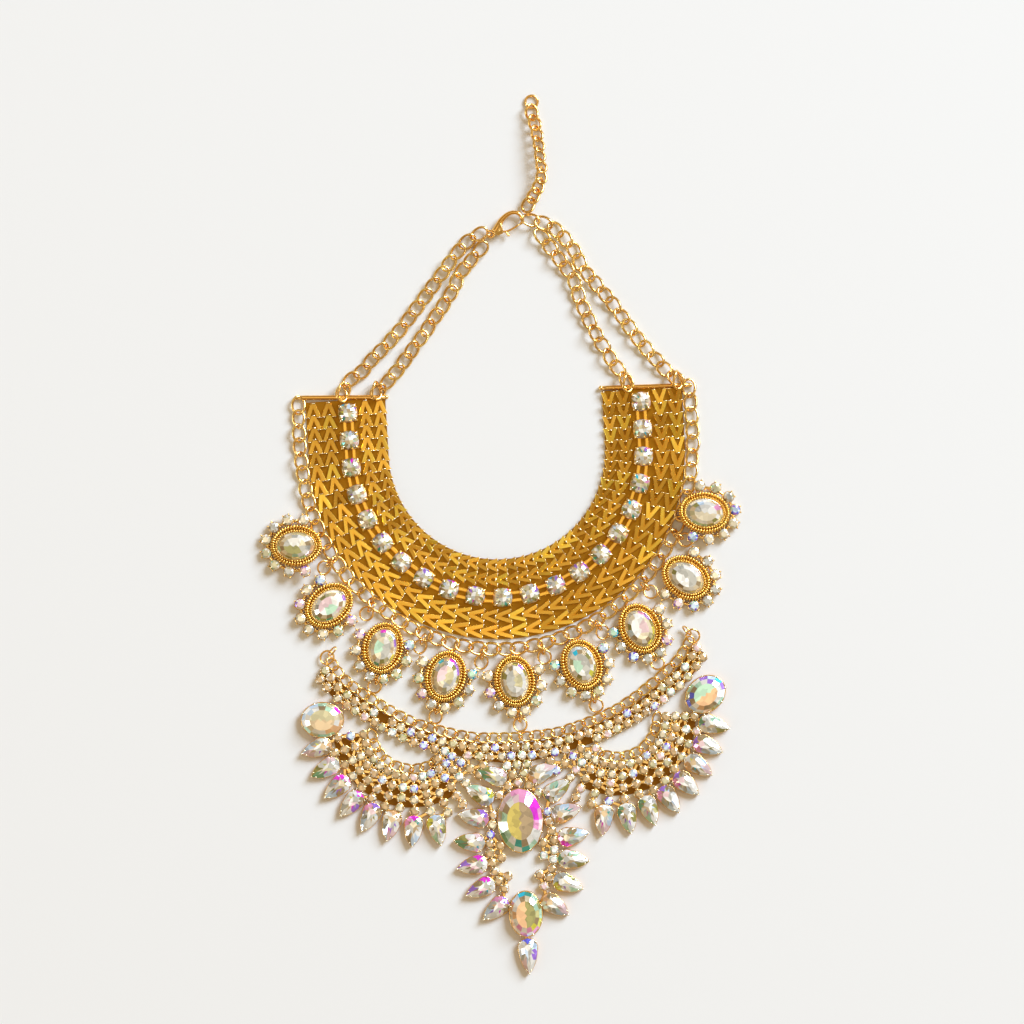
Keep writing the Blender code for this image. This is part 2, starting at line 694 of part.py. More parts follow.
def halo_outline():
    """The scalloped plate under the accent stones, open towards the chain."""
    points = []
    for i in range(ACCENTS):
        angle = -ACCENT_SPREAD + 2 * ACCENT_SPREAD * i / (ACCENTS - 1)
        centre = Vector(
            (
                (SETTING_HALF_LENGTH + ACCENT_OFFSET) * math.cos(angle),
                (SETTING_HALF_WIDTH + ACCENT_OFFSET) * math.sin(angle),
            )
        )
        for swing in (-1, 1):
            out = angle + swing * math.pi / 4
            points.append(tuple(centre + ACCENT_RADIUS * Vector((math.cos(out), math.sin(out)))))
    return points


def medallion(number, centre, turn, over_chain):
    place = medallion_frame(centre, turn, over_chain)
    cup, halo, stone = bmesh.new(), bmesh.new(), bmesh.new()
    inner = 1 - SETTING_RIM / SETTING_HALF_LENGTH
    outline = oval_outline(SETTING_HALF_LENGTH, SETTING_HALF_WIDTH, 12)
    walls = [(0.0, 1.0), (SETTING_HEIGHT * 0.8, 1.0), (SETTING_HEIGHT, 0.92)]
    hollow = [(SETTING_HEIGHT, inner), (SETTING_FLOOR, inner - SETTING_TAPER)]
    add_stack(cup, outline, walls + hollow, place)
    add_stack(halo, halo_outline(), [(HALO_BOTTOM, 1.0), (HALO_TOP, 1.0)], place)
    fused_object(f"medallion_setting_{number}", [cup, halo], "gold")
    stone_outline = widened([(x * inner, y * inner) for x, y in outline], -2 * CLEARANCE)
    girdle = SETTING_FLOOR + CLEARANCE
    cut = [(girdle, 0.8), (SETTING_HEIGHT, 1.0), (MEDALLION_STONE_HEIGHT, 0.6)]
    add_stack(stone, stone_outline, cut, place)
    mesh_object(f"medallion_stone_{number}", stone, "crystal")


def jump_ring(name, x, y):
    shape = bmesh.new()
    height = RING_WIRE_RADIUS
    add_loop(shape, round_loop(RING_RADIUS, RING_SIDES, placed(x, y, 0.0, height)), RING_WIRE_RADIUS)
    mesh_object(name, shape, "gold")


def ring_towards_swag(centre, turn, swag_route):
    """A point beyond a medallion's end, where a ring lies beside the swag chain."""
    gap = FINE_CHAIN_HALF_WIDTH + CLEARANCE + RING_REACH
    direction = Vector((math.cos(turn), math.sin(turn)))
    distance = SETTING_HALF_LENGTH
    while distance_to_route(centre + direction * distance, swag_route) > gap:
        distance += CLEARANCE / 3
    return centre + direction * distance


def fan_pear_places(side):
    centre = Vector((side * FAN_CENTRE_X, FAN_CENTRE_Y))
    places = []
    for i, row in enumerate(FAN_PEARS):
        angle = FAN_PEAR_FIRST + i * FAN_PEAR_STEP
        distance = FAN_PEAR_RADIUS * (1 + row["extra"])
        turn = angle + row["turn"]
        x, y = distance * math.cos(angle), distance * math.sin(angle)
        places.append((centre.x + side * x, centre.y + y, turn if side > 0 else math.pi - turn))
    return places


def centre_pear_places(side):
    places = []
    for row in CENTRE_PEARS:
        x = side * row["across"] * CENTRE_OVAL_LENGTH
        y = CENTRE_OVAL_Y + row["up"] * CENTRE_OVAL_LENGTH
        places.append((x, y, row["turn"] if side > 0 else math.pi - row["turn"]))
    return places


def pear_row(name, places):
    """Pear stones in their settings, joined by short bars behind their round ends."""
    stones, bars = bmesh.new(), bmesh.new()
    outline = pear_outline(PEAR_LENGTH, PEAR_RADIUS)
    levels = [(0.0, 1.0), (PEAR_GIRDLE, 1.0), (PEAR_HEIGHT, PEAR_TABLE)]
    seats = []
    for x, y, turn in places:
        add_stack(stones, outline, levels, placed(x, y, turn))
        seats.append(Vector((x + math.cos(turn) * BRIDGE_WIDTH, y + math.sin(turn) * BRIDGE_WIDTH)))
    for here, there in zip(seats, seats[1:]):
        inset = (there - here).normalized() * PEAR_RADIUS * 0.6
        add_box(bars, here + inset, there - inset, BRIDGE_WIDTH, BRIDGE_BOTTOM, BRIDGE_TOP)
    fused_object(name, [stones, bars], "crystal")


def oval_levels():
    """Heights and scales of an oval stone: its wall, three rows of facets and the table."""
    shoulder = OVAL_GIRDLE + OVAL_BEVEL
    edge = OVAL_HEIGHT - OVAL_BEVEL
    return [(0.0, 1.0), (OVAL_GIRDLE, 1.0), (shoulder, 0.94), (edge, 0.78), (OVAL_HEIGHT, 0.56)]


def oval_stone(name, outline, x, y, turn):
    shape = bmesh.new()
    add_stack(shape, outline, oval_levels(), placed(x, y, turn))
    return mesh_object(name, shape, "crystal")


def ridged_stations(line, rows):
    """Stations of a strip with one ridge for each row of stones. The line holds pairs of
    points at the strip's two edges."""
    stations = []
    for first, last in line:
        station = []
        for j in range(2 * rows + 1):
            point = first.lerp(last, j / (2 * rows))
            station.append((point.x, point.y, FIELD_RIDGE if j % 2 else FIELD_VALLEY))
        stations.append(station)
    return stations


def swag_band_line(side, swag_route):
    """Edges of the strip of stones that hangs from one half of the swag chain."""
    half = [p for p in swag_route if p.x * side > BRIDGE_WIDTH]
    if side < 0:
        half.reverse()
    half.append(Vector((side * CLEARANCE, swag_route[len(swag_route) // 2].y)))
    line = []
    for i, point in enumerate(half):
        ahead = half[min(i + 1, len(half) - 1)] - half[max(i - 1, 0)]
        down = Vector((-ahead.y, ahead.x)).normalized() * side
        if i == len(half) - 1:
            down = Vector((0.0, -1.0))
        line.append((point + down * SWAG_BAND_INNER, point + down * (SWAG_BAND_INNER + SWAG_BAND_WIDTH)))
    return line


def fan_line(side):
    inner = FAN_CHAIN_ARC + FINE_CHAIN_HALF_WIDTH + CLEARANCE
    line = []
    for i in range(FAN_STATIONS):
        angle = FAN_FIRST_ANGLE + (FAN_LAST_ANGLE - FAN_FIRST_ANGLE) * i / (FAN_STATIONS - 1)
        out = Vector((side * math.cos(angle), math.sin(angle)))
        centre = Vector((side * FAN_CENTRE_X, FAN_CENTRE_Y))
        line.append((centre + out * inner, centre + out * FAN_OUTER_RADIUS))
    return line


def centre_line(side):
    """Edges of the row beside the centre oval, from inside the swag's strip to a place
    beside the lower oval's upper half."""
    points = [
        Vector((side * row["across"] * CENTRE_OVAL_LENGTH, CENTRE_OVAL_Y + row["up"] * CENTRE_OVAL_LENGTH))
        for row in CENTRE_ROWS
    ]
    points[0].y = NECK_CENTRE_Y - SWAG_RADIUS - SWAG_BAND_INNER - SWAG_BAND_WIDTH * 2 / 3
    points[-1].y = LOWER_OVAL_Y + LOWER_OVAL_HALF_LENGTH * 0.36
    line = []
    for i, row in enumerate(CENTRE_ROWS):
        ahead = (points[min(i + 1, len(points) - 1)] - points[max(i - 1, 0)]).normalized()
        across = Vector((-ahead.y, ahead.x)) * row["half"] * CENTRE_OVAL_LENGTH
        line.append((points[i] - across, points[i] + across))
    return line


def stone_field(name, side, swag_route, seats):
    """The soldered rows of small stones on one side, cut back round the larger stones."""
    layers = []
    for line, rows in ((swag_band_line(side, swag_route), 2), (fan_line(side), 4), (centre_line(side), 1)):
        shape = bmesh.new()
        add_relief_strip(shape, ridged_stations(line, rows))
        layers.append(shape)
    ovals, pears, middle = bmesh.new(), bmesh.new(), bmesh.new()
    through = [(-CLEARANCE, 1.0), (OVAL_HEIGHT, 1.0)]
    for outline, x, y, turn in seats:
        add_stack(ovals, widened(outline, CLEARANCE), through, placed(x, y, turn))
    outline = widened(pear_outline(PEAR_LENGTH, PEAR_RADIUS), CLEARANCE)
    for x, y, turn in fan_pear_places(side) + centre_pear_places(side):
        add_stack(pears, outline, through, placed(x, y, turn))
    reach = FAN_CENTRE_X
    other_side = placed(side * (CLEARANCE / 2 - reach), CENTRE_OVAL_Y)
    add_stack(middle, box_outline(reach, 2 * CENTRE_OVAL_LENGTH), through, other_side)
    fused_object(name, layers, "gold", [ovals, pears, middle])


def fan_chain(name, side, swag_route):
    """The arc of chain inside a fan, ended where it meets the strip above it."""
    gap = SWAG_BAND_INNER + SWAG_BAND_WIDTH + CLEARANCE + FINE_CHAIN_HALF_WIDTH
    centre = Vector((side * FAN_CENTRE_X, FAN_CENTRE_Y))
    points = []
    for step in range(-180, 1, 2):
        angle = math.radians(step)
        point = centre + Vector((side * math.cos(angle), math.sin(angle))) * FAN_CHAIN_ARC
        if distance_to_route(point, swag_route) > gap:
            points.append(point)
    route = smooth_route(points, FINE_CHAIN_POINT_SPACING)
    flat_tube(name, route, FINE_CHAIN_HALF_WIDTH, FINE_CHAIN_HALF_HEIGHT)


def lower_oval_with_drop():
    drop_y = LOWER_OVAL_Y - LOWER_OVAL_HALF_LENGTH - DROP_RADIUS
    oval, drop, bar = bmesh.new(), bmesh.new(), bmesh.new()
    outline = oval_outline(LOWER_OVAL_HALF_LENGTH, LOWER_OVAL_HALF_WIDTH, 16)
    add_stack(oval, outline, oval_levels(), placed(0.0, LOWER_OVAL_Y, math.pi / 2))
    levels = [(0.0, 1.0), (PEAR_GIRDLE, 1.0), (PEAR_HEIGHT, PEAR_TABLE)]
    hanging = placed(0.0, drop_y - CLEARANCE, -math.pi / 2)
    add_stack(drop, pear_outline(DROP_LENGTH, DROP_RADIUS), levels, hanging)
    top = LOWER_OVAL_Y - LOWER_OVAL_HALF_LENGTH + BRIDGE_WIDTH
    add_box(bar, (0.0, top), (0.0, top - 3 * BRIDGE_WIDTH), BRIDGE_WIDTH, BRIDGE_BOTTOM, BRIDGE_TOP)
    fused_object("lower_oval_with_drop", [oval, bar, drop], "crystal")


def extender_chain(hook_point, hook_turn):
    """The tail of real links. Its first link is the one that the clasp holds."""
    hooked = placed(hook_point.x, hook_point.y, hook_turn, CLASP_MIDDLE)
    tilt = Matrix.Rotation(HOOKED_LINK_TILT, 4, "X")
    even, odd = bmesh.new(), bmesh.new()
    add_loop(even, round_loop(HOOKED_LINK_RADIUS, LINK_SIDES, hooked @ tilt), RING_WIRE_RADIUS)
    route = smooth_route([(hook_point.x + x, hook_point.y + y) for x, y in EXTENDER_ROUTE], LINK_PITCH)
    level = LINK_TWIST + LINK_TILT * LINK_HALF_LENGTH + LINK_WIRE_RADIUS
    for i, point in enumerate(route):
        ahead = route[min(i + 1, len(route) - 1)] - route[max(i - 1, 0)]
        place = placed(point.x, point.y, math.atan2(ahead.y, ahead.x), level)
        add_loop(odd if i % 2 == 0 else even, curb_link(place), LINK_WIRE_RADIUS)
    fused_object("extender_chain", [even, odd], "gold")


def clasp_frame():
    return placed(CLASP_X, CLASP_Y, CLASP_TURN, CLASP_MIDDLE)


def clasp_outline(table):
    return [(x * CLASP_UNIT, y * CLASP_UNIT) for x, y in table]


def both_ways(half):
    """Levels of a solid that reaches as far below a frame's plane as above it."""
    return [(-half, 1.0), (half, 1.0)]


def clasp_body():
    """The hook: a slotted root with a swivel eye, and a bent wire arm."""
    place = clasp_frame()
    hinge = place @ placed(LEVER_HINGE_X, LEVER_HINGE_Y)
    eye_place = place @ placed(EYE_OVERLAP - EYE_RADIUS, 0.0)
    half_root, half_wire = CLASP_ROOT_THICKNESS / 2, CLASP_WIRE_THICKNESS / 2
    arm, root, eye = bmesh.new(), bmesh.new(), bmesh.new()
    add_stack(arm, clasp_outline(CLASP_ARM), both_ways(half_wire), place)
    add_stack(root, clasp_outline(CLASP_ROOT), both_ways(half_root), place)
    add_stack(eye, round_outline(EYE_RADIUS, 12), both_ways(half_wire), eye_place)
    slot, bore, pin = bmesh.new(), bmesh.new(), bmesh.new()
    add_stack(slot, clasp_outline(LEVER_SLOT), both_ways(CLASP_SLOT / 2), hinge)
    add_stack(bore, round_outline(EYE_BORE_RADIUS, 12), both_ways(half_root), eye_place)
    add_stack(pin, round_outline(HINGE_PIN_RADIUS, 10), both_ways(half_root - CLEARANCE), hinge)
    made = fused_object("clasp_body", [root, eye], "gold", [slot, bore])
    combine(made, pin, "gold", "UNION")
    combine(made, arm, "gold", "UNION")


def clasp_lever():
    """The spring lever: a hub on the pin, an arm to the hook's tip and a thumb nub."""
    hinge = clasp_frame() @ placed(LEVER_HINGE_X, LEVER_HINGE_Y)
    half = LEVER_THICKNESS / 2
    hub, arm, bore = bmesh.new(), bmesh.new(), bmesh.new()
    add_stack(hub, round_outline(LEVER_HUB_RADIUS, 12), both_ways(half), hinge)
    add_stack(arm, clasp_outline(CLASP_LEVER_ARM), both_ways(half), hinge)
    add_stack(bore, round_outline(LEVER_BORE_RADIUS, 12), both_ways(2 * half), hinge)
    fused_object("clasp_lever", [hub, arm], "gold", [bore])


def swivel_ring():
    """The ring through the clasp's eye, standing on the surface."""
    height = SWIVEL_RING_RADIUS + RING_WIRE_RADIUS
    back = EYE_RADIUS - EYE_OVERLAP + SWIVEL_RING_RADIUS
    place = placed(CLASP_X, CLASP_Y, CLASP_TURN) @ placed(-back, 0.0, 0.0, height)
    standing = place @ Matrix.Rotation(math.pi / 2, 4, "X")
    shape = bmesh.new()
    add_loop(shape, round_loop(SWIVEL_RING_RADIUS, RING_SIDES, standing), RING_WIRE_RADIUS)
    mesh_object("swivel_ring", shape, "gold")


def build():
    clear_scene()
    make_materials()
    collar_band("collar_band_inner", NECK_RADIUS, NECK_RADIUS + INNER_BAND_WIDTH)
    collar_band("collar_band_outer", OUTER_BAND_RADIUS, COLLAR_EDGE)
    collar_stones()
    right_bar = end_bar("end_bar_right", 1, RIGHT_LEG, RIGHT_BAR_TILT)
    left_bar = end_bar("end_bar_left", -1, LEFT_LEG, LEFT_BAR_TILT)
    for name, row in BACK_CHAINS.items():
        back_chain(name, row, right_bar if row["side"] > 0 else left_bar)

    outer_route = outer_chain_points()
    swag_route = smooth_route(swag_points(), FINE_CHAIN_POINT_SPACING)
    flat_tube("outer_chain", outer_route, CHAIN_HALF_WIDTH, CHAIN_HALF_HEIGHT)
    flat_tube("swag_chain", swag_route, FINE_CHAIN_HALF_WIDTH, FINE_CHAIN_HALF_HEIGHT)

    rings = []
    for number in range(1, len(MEDALLIONS) + 1):
        centre, turn, angle = medallion_place(number, outer_route)
        medallion(number, centre, turn, MEDALLIONS[number - 1]["slack"] < 0)
        if number < len(MEDALLIONS):
            between = angle + MEDALLION_STEP / 2
            gap = CHAIN_HALF_WIDTH + CLEARANCE + RING_REACH
            start = COLLAR_EDGE + CHAIN_HALF_WIDTH
            rings.append(polar(between, clear_of_route(between, outer_route, gap, start)))
        if number in MEDALLIONS_WITH_LOWER_RING:
            rings.append(ring_towards_swag(centre, turn, swag_route))
    for end, following in (swag_route[:2], swag_route[:-3:-1]):
        rings.append(end + (end - following).normalized() * (CLEARANCE + RING_REACH))
    for number, place in enumerate(rings, 1):
        jump_ring(f"jump_ring_{number}", place.x, place.y)

    centre_outline = oval_outline(CENTRE_OVAL_HALF_LENGTH, CENTRE_OVAL_HALF_WIDTH, 16)
    lower_outline = oval_outline(LOWER_OVAL_HALF_LENGTH, LOWER_OVAL_HALF_WIDTH, 16)
    side_outline = oval_outline(SIDE_OVAL_HALF_LENGTH, SIDE_OVAL_HALF_WIDTH, 16)
    oval_stone("centre_oval", centre_outline, 0.0, CENTRE_OVAL_Y, math.pi / 2)
    seats = [
        (centre_outline, 0.0, CENTRE_OVAL_Y, math.pi / 2),
        (lower_outline, 0.0, LOWER_OVAL_Y, math.pi / 2),
    ]
    for row in SIDE_OVALS:
        x = row["side"] * (FAN_CENTRE_X + row["across"] * FAN_PEAR_RADIUS)
        y = FAN_CENTRE_Y + row["up"] * FAN_PEAR_RADIUS
        oval_stone(row["name"], side_outline, x, y, row["turn"])
        seats.append((side_outline, x, y, row["turn"]))
    lower_oval_with_drop()
    for side, word in ((1, "right"), (-1, "left")):
        stone_field(f"stone_rows_{word}", side, swag_route, seats)
        fan_chain(f"fan_chain_{word}", side, swag_route)
        pear_row(f"fan_pears_{word}", fan_pear_places(side))
        pear_row(f"centre_pears_{word}", centre_pear_places(side))

    hook = clasp_frame() @ Vector((CLASP_LENGTH + CLEARANCE, HOOK_GRIP * CLASP_UNIT, 0.0))
    extender_chain(hook, CLASP_TURN)
    clasp_body()
    clasp_lever()
    swivel_ring()


build()
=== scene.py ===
# Dresses the bib necklace: links, plates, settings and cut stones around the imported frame.
# Shapes are worked out in millimetres in the frame's own axes; makePiece turns them into metres.

import math
import random

import bmesh
import bpy
from mathutils import Matrix, Vector


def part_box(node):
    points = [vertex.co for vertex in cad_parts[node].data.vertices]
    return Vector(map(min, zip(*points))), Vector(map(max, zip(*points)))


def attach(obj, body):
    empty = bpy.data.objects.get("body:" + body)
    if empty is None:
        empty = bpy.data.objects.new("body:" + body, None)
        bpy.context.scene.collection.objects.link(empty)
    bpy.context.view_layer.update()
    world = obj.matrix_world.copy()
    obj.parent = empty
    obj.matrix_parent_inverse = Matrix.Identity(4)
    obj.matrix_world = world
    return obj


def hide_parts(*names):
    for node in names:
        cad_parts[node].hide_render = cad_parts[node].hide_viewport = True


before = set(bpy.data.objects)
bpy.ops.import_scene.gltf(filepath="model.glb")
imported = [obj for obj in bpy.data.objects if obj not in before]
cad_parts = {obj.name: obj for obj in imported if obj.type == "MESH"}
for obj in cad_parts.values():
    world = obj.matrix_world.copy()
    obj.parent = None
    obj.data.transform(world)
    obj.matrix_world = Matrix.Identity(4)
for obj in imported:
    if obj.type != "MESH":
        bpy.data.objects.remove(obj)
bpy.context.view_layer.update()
mm = 0.001
up = Vector((0, 0, 1))
chance = random.Random(7)  # one source for all the small irregularities


# Colours that the facets of the cut stones take, in the order of the ramp that holds them. Beside the foil's
# own tones, white and blueWhite stand for painted glints, and the vivid colours for painted fire.
facetColours = {
    "honey": (0.60, 0.40, 0.19), "champagne": (0.72, 0.54, 0.32), "cream": (0.88, 0.77, 0.55),
    "paleOlive": (0.62, 0.57, 0.34), "olive": (0.34, 0.32, 0.10), "taupe": (0.40, 0.29, 0.16),
    "oliveYellow": (0.60, 0.48, 0.10),
    "grey": (0.50, 0.50, 0.46), "white": (0.95, 0.95, 0.92), "blueWhite": (0.62, 0.78, 0.98),
    "mint": (0.52, 0.80, 0.60), "deepGreen": (0.20, 0.42, 0.24), "teal": (0.06, 0.42, 0.36),
    "cyan": (0.02, 0.58, 0.85), "blue": (0.14, 0.16, 0.88), "violet": (0.40, 0.20, 0.82),
    "magenta": (0.88, 0.04, 0.80), "pink": (0.88, 0.36, 0.64), "palePink": (0.84, 0.62, 0.66),
    "peach": (0.90, 0.54, 0.28), "lemon": (0.80, 0.76, 0.10), "umber": (0.16, 0.10, 0.04),
}
facetOrder = list(facetColours)

# The painted fire of a facet, coloured reflections chosen by the way it faces: up to each direction, in
# degrees anticlockwise from +X.
paintedFacetFire = (
    (35, ("pink", "palePink", "peach", "white", "violet")),
    (85, ("magenta", "violet", "white", "pink", "blueWhite")),
    (130, ("blueWhite", "grey", "cyan", "white", "violet")),
    (200, ("mint", "paleOlive", "white", "grey", "blueWhite")),
    (255, ("mint", "deepGreen", "white", "blueWhite", "teal")),
    (300, ("white", "teal", "mint", "paleOlive", "grey")),
    (360, ("peach", "white", "lemon", "palePink", "olive")),
)
quietColours = ("paleOlive", "grey", "champagne", "white", "taupe", "olive", "cream", "white")


def toneOf(colour):
    return (facetOrder.index(colour) + 0.5) / len(facetOrder)


def paintedFireColour(turn, quiet):
    if chance.random() < quiet:
        return chance.choice(quietColours)
    degrees = math.degrees(turn) % 360
    colours = next(found for limit, found in paintedFacetFire if degrees <= limit)
    return chance.choice(colours)


# The points and faces of one piece, in millimetres, gathered before its mesh is made.
class Casting:
    def __init__(self):
        self.points = []
        self.faces = []
        self.tones = []
        self.metals = []
        self.smooth = []

    def add(self, points, faces, tones=0.5, metal=0, smooth=True):
        first = len(self.points)
        self.points += [tuple(p) for p in points]
        self.faces += [[first + k for k in face] for face in faces]
        self.tones += tones if isinstance(tones, list) else [tones] * len(faces)
        self.metals += [metal] * len(faces)
        self.smooth += [smooth] * len(faces)


def makePiece(name, casting, finishes, replaced=(), body="necklace"):
    mesh = bpy.data.meshes.new(name)
    mesh.from_pydata([[c * mm for c in p] for p in casting.points], [], casting.faces)
    for finish in finishes:
        mesh.materials.append(bpy.data.materials[finish])
    mesh.polygons.foreach_set("use_smooth", casting.smooth)
    mesh.polygons.foreach_set("material_index", casting.metals)
    tone = mesh.attributes.new("tone", "FLOAT", "FACE")
    tone.data.foreach_set("value", casting.tones)
    shape = bmesh.new()
    shape.from_mesh(mesh)
    bmesh.ops.recalc_face_normals(shape, faces=shape.faces)
    shape.to_mesh(mesh)
    shape.free()
    made = bpy.data.objects.new(name, mesh)
    bpy.context.scene.collection.objects.link(made)
    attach(made, body)
    if replaced:
        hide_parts(*replaced)
    return made


def placed(x, y, z=0.0, turn=0.0):
    return Matrix.Translation((x, y, z)) @ Matrix.Rotation(turn, 4, "Z")


def leaning(place, angle, axis):
    return place @ Matrix.Rotation(angle, 4, axis)


def centreOf(node):
    low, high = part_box(node)
    return (low + high) / (2 * mm)


# Faces between two rings of points, given by the first point of each.
def bandFaces(near, far, count):
    return [[near + k, near + (k + 1) % count, far + (k + 1) % count, far + k] for k in range(count)]


def addTube(casting, points, radius, sides, closed=False, upright=up, metal=0, tone=0.5):
    count = len(points)
    rings = []
    for i, point in enumerate(points):
        back = points[i - 1] if closed or i else point
        ahead = points[(i + 1) % count] if closed or i < count - 1 else point
        along = (ahead - back).normalized()
        side = along.cross(upright).normalized()
        lift = side.cross(along)
        here = radius[i] if isinstance(radius, (list, tuple)) else radius
        for k in range(sides):
            angle = 2 * math.pi * k / sides
            rings.append(point + (side * math.cos(angle) + lift * math.sin(angle)) * here)
    faces = []
    for i in range(count if closed else count - 1):
        faces += bandFaces(i * sides, ((i + 1) % count) * sides, sides)
    if not closed:
        faces.append(list(range(sides)))
        faces.append([(count - 1) * sides + k for k in range(sides)])
    casting.add(rings, faces, tone, metal)


# A ball or, with three sizes that differ, a grain.
def addGrain(casting, place, sizes, rows, sides, metal, tone=0.5):
    points = [place @ Vector((0, 0, sizes[2]))]
    for row in range(1, rows):
        angle = math.pi * row / rows
        wide, deep = sizes[0] * math.sin(angle), sizes[1] * math.sin(angle)
        height = sizes[2] * math.cos(angle)
        for k in range(sides):
            turn = 2 * math.pi * k / sides
            points.append(place @ Vector((wide * math.cos(turn), deep * math.sin(turn), height)))
    points.append(place @ Vector((0, 0, -sizes[2])))
    faces = [[0, 1 + k, 1 + (k + 1) % sides] for k in range(sides)]
    for row in range(rows - 2):
        faces += bandFaces(1 + row * sides, 1 + (row + 1) * sides, sides)
    last = len(points) - 1
    near = 1 + (rows - 2) * sides
    faces += [[near + (k + 1) % sides, near + k, last] for k in range(sides)]
    casting.add(points, faces, tone, metal)


def addBall(casting, centre, radius, rows, sides, metal=0):
    addGrain(casting, Matrix.Translation(centre), (radius, radius, radius), rows, sides, metal)


# Rings of one outline above each other: each level has its height and its share of the outline's size.
def addStack(casting, outline, levels, place, metal=0, smooth=False):
    count = len(outline)
    points = [place @ Vector((x * s, y * s, z)) for z, s in levels for x, y in outline]
    faces = [list(range(count))]
    for row in range(len(levels) - 1):
        faces += bandFaces(row * count, (row + 1) * count, count)
    faces.append([(len(levels) - 1) * count + k for k in range(count)])
    casting.add(points, faces, metal=metal, smooth=smooth)


# A flat bar from one point to another, with its upper edges broken.
def addBar(casting, start, end, width, low, high):
    middle = (start + end) / 2
    turn = math.atan2(end.y - start.y, end.x - start.x)
    half, lip = (end - start).length / 2, width * 0.16
    outline = [(-half, -width / 2), (half, -width / 2), (half, width / 2), (-half, width / 2)]
    inner = [(x - math.copysign(lip, x), y - math.copysign(lip, y)) for x, y in outline]
    place = placed(middle.x, middle.y, 0, turn)
    rings = [(outline, low), (outline, high - lip), (inner, high)]
    points = [place @ Vector((x, y, z)) for ring, z in rings for x, y in ring]
    faces = [[0, 1, 2, 3], [8, 9, 10, 11]] + bandFaces(0, 4, 4) + bandFaces(4, 8, 4)
    casting.add(points, faces, smooth=False)


# A low sheet between two lines, given as pairs of points.
def addSheet(casting, edges, low, high):
    points = []
    for near, far in edges:
        points += [(near.x, near.y, low), (near.x, near.y, high), (far.x, far.y, high), (far.x, far.y, low)]
    faces = []
    for i in range(len(edges) - 1):
        faces += bandFaces(4 * i, 4 * i + 4, 4)
    faces += [[0, 1, 2, 3], [4 * (len(edges) - 1) + k for k in range(4)]]
    casting.add(points, faces, 0.4, smooth=False)


def ovalLine(halfLength, halfWidth, count, z=0.0, start=0.0):
    turns = [start + 2 * math.pi * i / count for i in range(count)]
    return [Vector((halfLength * math.cos(t), halfWidth * math.sin(t), z)) for t in turns]


# A pear's outline: a round end about the origin, a point on +X and sides that bulge a little.
def pearLine(length, radius, sideSteps, arcSteps):
    tip = length - radius
    shoulder = math.acos(radius / tip)
    outward = Vector((math.cos(shoulder), math.sin(shoulder), 0))
    side = []
    for i in range(1, sideSteps + 1):
        share = i / (sideSteps + 1)
        along = Vector((tip, 0, 0)).lerp(outward * radius, share)
        side.append(along + outward * radius * 0.20 * math.sin(math.pi * share))
    arc = []
    for i in range(arcSteps + 1):
        angle = shoulder + (2 * math.pi - 2 * shoulder) * i / arcSteps
        arc.append(Vector((radius * math.cos(angle), radius * math.sin(angle), 0)))
    mirrored = [Vector((p.x, -p.y, 0)) for p in reversed(side)]
    return [Vector((tip, 0, 0))] + side + arc + mirrored


# Between a circle and a square, as the collar's stones are.
def cushionLine(half, count):
    power = 2.8
    points = []
    for i in range(count):
        t = 2 * math.pi * (i + 0.5) / count
        reach = half / (abs(math.cos(t)) ** power + abs(math.sin(t)) ** power) ** (1 / power)
        points.append(Vector((reach * math.cos(t), reach * math.sin(t), 0)))
    return points


def ringsOf(rings, place):
    return [place @ Vector((p.x * share, p.y * share, z)) for ring, share, z in rings for p in ring]


def turnOf(step):
    return math.atan2(step.y, step.x)


# The colour that a list has for one step of the way round.
def colourAt(colours, step, count):
    return colours[int(step * len(colours) / count) % len(colours)]


# Cuts a stone from its outline: a wall, kites and triangles up to the crown, then the table
# in wedges that show the colours of its foil. "table" names the colours round the table, and
# "ring" those of the crown. Without a ring, the crown takes the painted fire of the way it faces.
def addStone(casting, outline, cut, place, quiet, table, ring=None):
    count = len(outline)
    middles = [(outline[i] + outline[(i + 1) % count]) / 2 for i in range(count)]
    rings = ((outline, 0.93, cut["foot"]), (outline, 1.0, cut["girdle"]),
             (middles, cut["crownShare"], cut["crown"]), (outline, cut["tableShare"], cut["top"]))
    points = ringsOf(rings, place)
    points.append(place @ Vector((cut.get("centreX", 0.0), 0, cut["top"])))
    girdle, crown, edge = count, 2 * count, 3 * count
    faces, tones = [list(range(count))], [toneOf("umber")]
    heart = place.translation
    base = chance.choice(("champagne", "paleOlive", "grey", "taupe"))
    for i in range(count):
        after, before = (i + 1) % count, (i - 1) % count
        halfTurn = turnOf(place @ middles[i] - heart)
        faces.append([i, after, girdle + after, girdle + i])
        tones.append(toneOf(chance.choice(("grey", "paleOlive", base))))
        faces.append([girdle + i, girdle + after, crown + i])
        tones.append(toneOf(colourAt(ring, i + 0.5, count) if ring else paintedFireColour(halfTurn, quiet)))
        faces.append([crown + before, girdle + i, crown + i, edge + i])
        turn = turnOf(points[girdle + i] - heart)
        tones.append(toneOf(colourAt(ring, i, count) if ring else paintedFireColour(turn, quiet)))
        faces.append([edge + i, crown + i, edge + after])
        tones.append(toneOf(paintedFireColour(halfTurn + math.pi, max(quiet, 0.5))))
        faces.append([edge + i, edge + after, 4 * count])
        tones.append(toneOf(colourAt(table, i + 0.5, count)))
    casting.add(points, faces, tones, smooth=False)


# Each setting's finishes, and the places in them of its shaded metal, darkened as painted shade, of its bright
# metal, lightened as a painted highlight, and of its rope metal.
collarFinishes = ["collarGold", "highlightGold"]
fringeFinishes = ["rosyGold", "shadedGold", "highlightGold"]
medallionFinishes = fringeFinishes + ["ropeGold"]
collarHighlight, shaded, highlightMetal, roped = 1, 1, 2, 3


# The line that parts the table of a step-cut stone, as shares of the table's size.
jaggedLine = ((0.62, 0.04), (0.38, -0.14), (0.12, 0.12), (-0.10, -0.10), (-0.34, 0.14), (-0.60, -0.04))
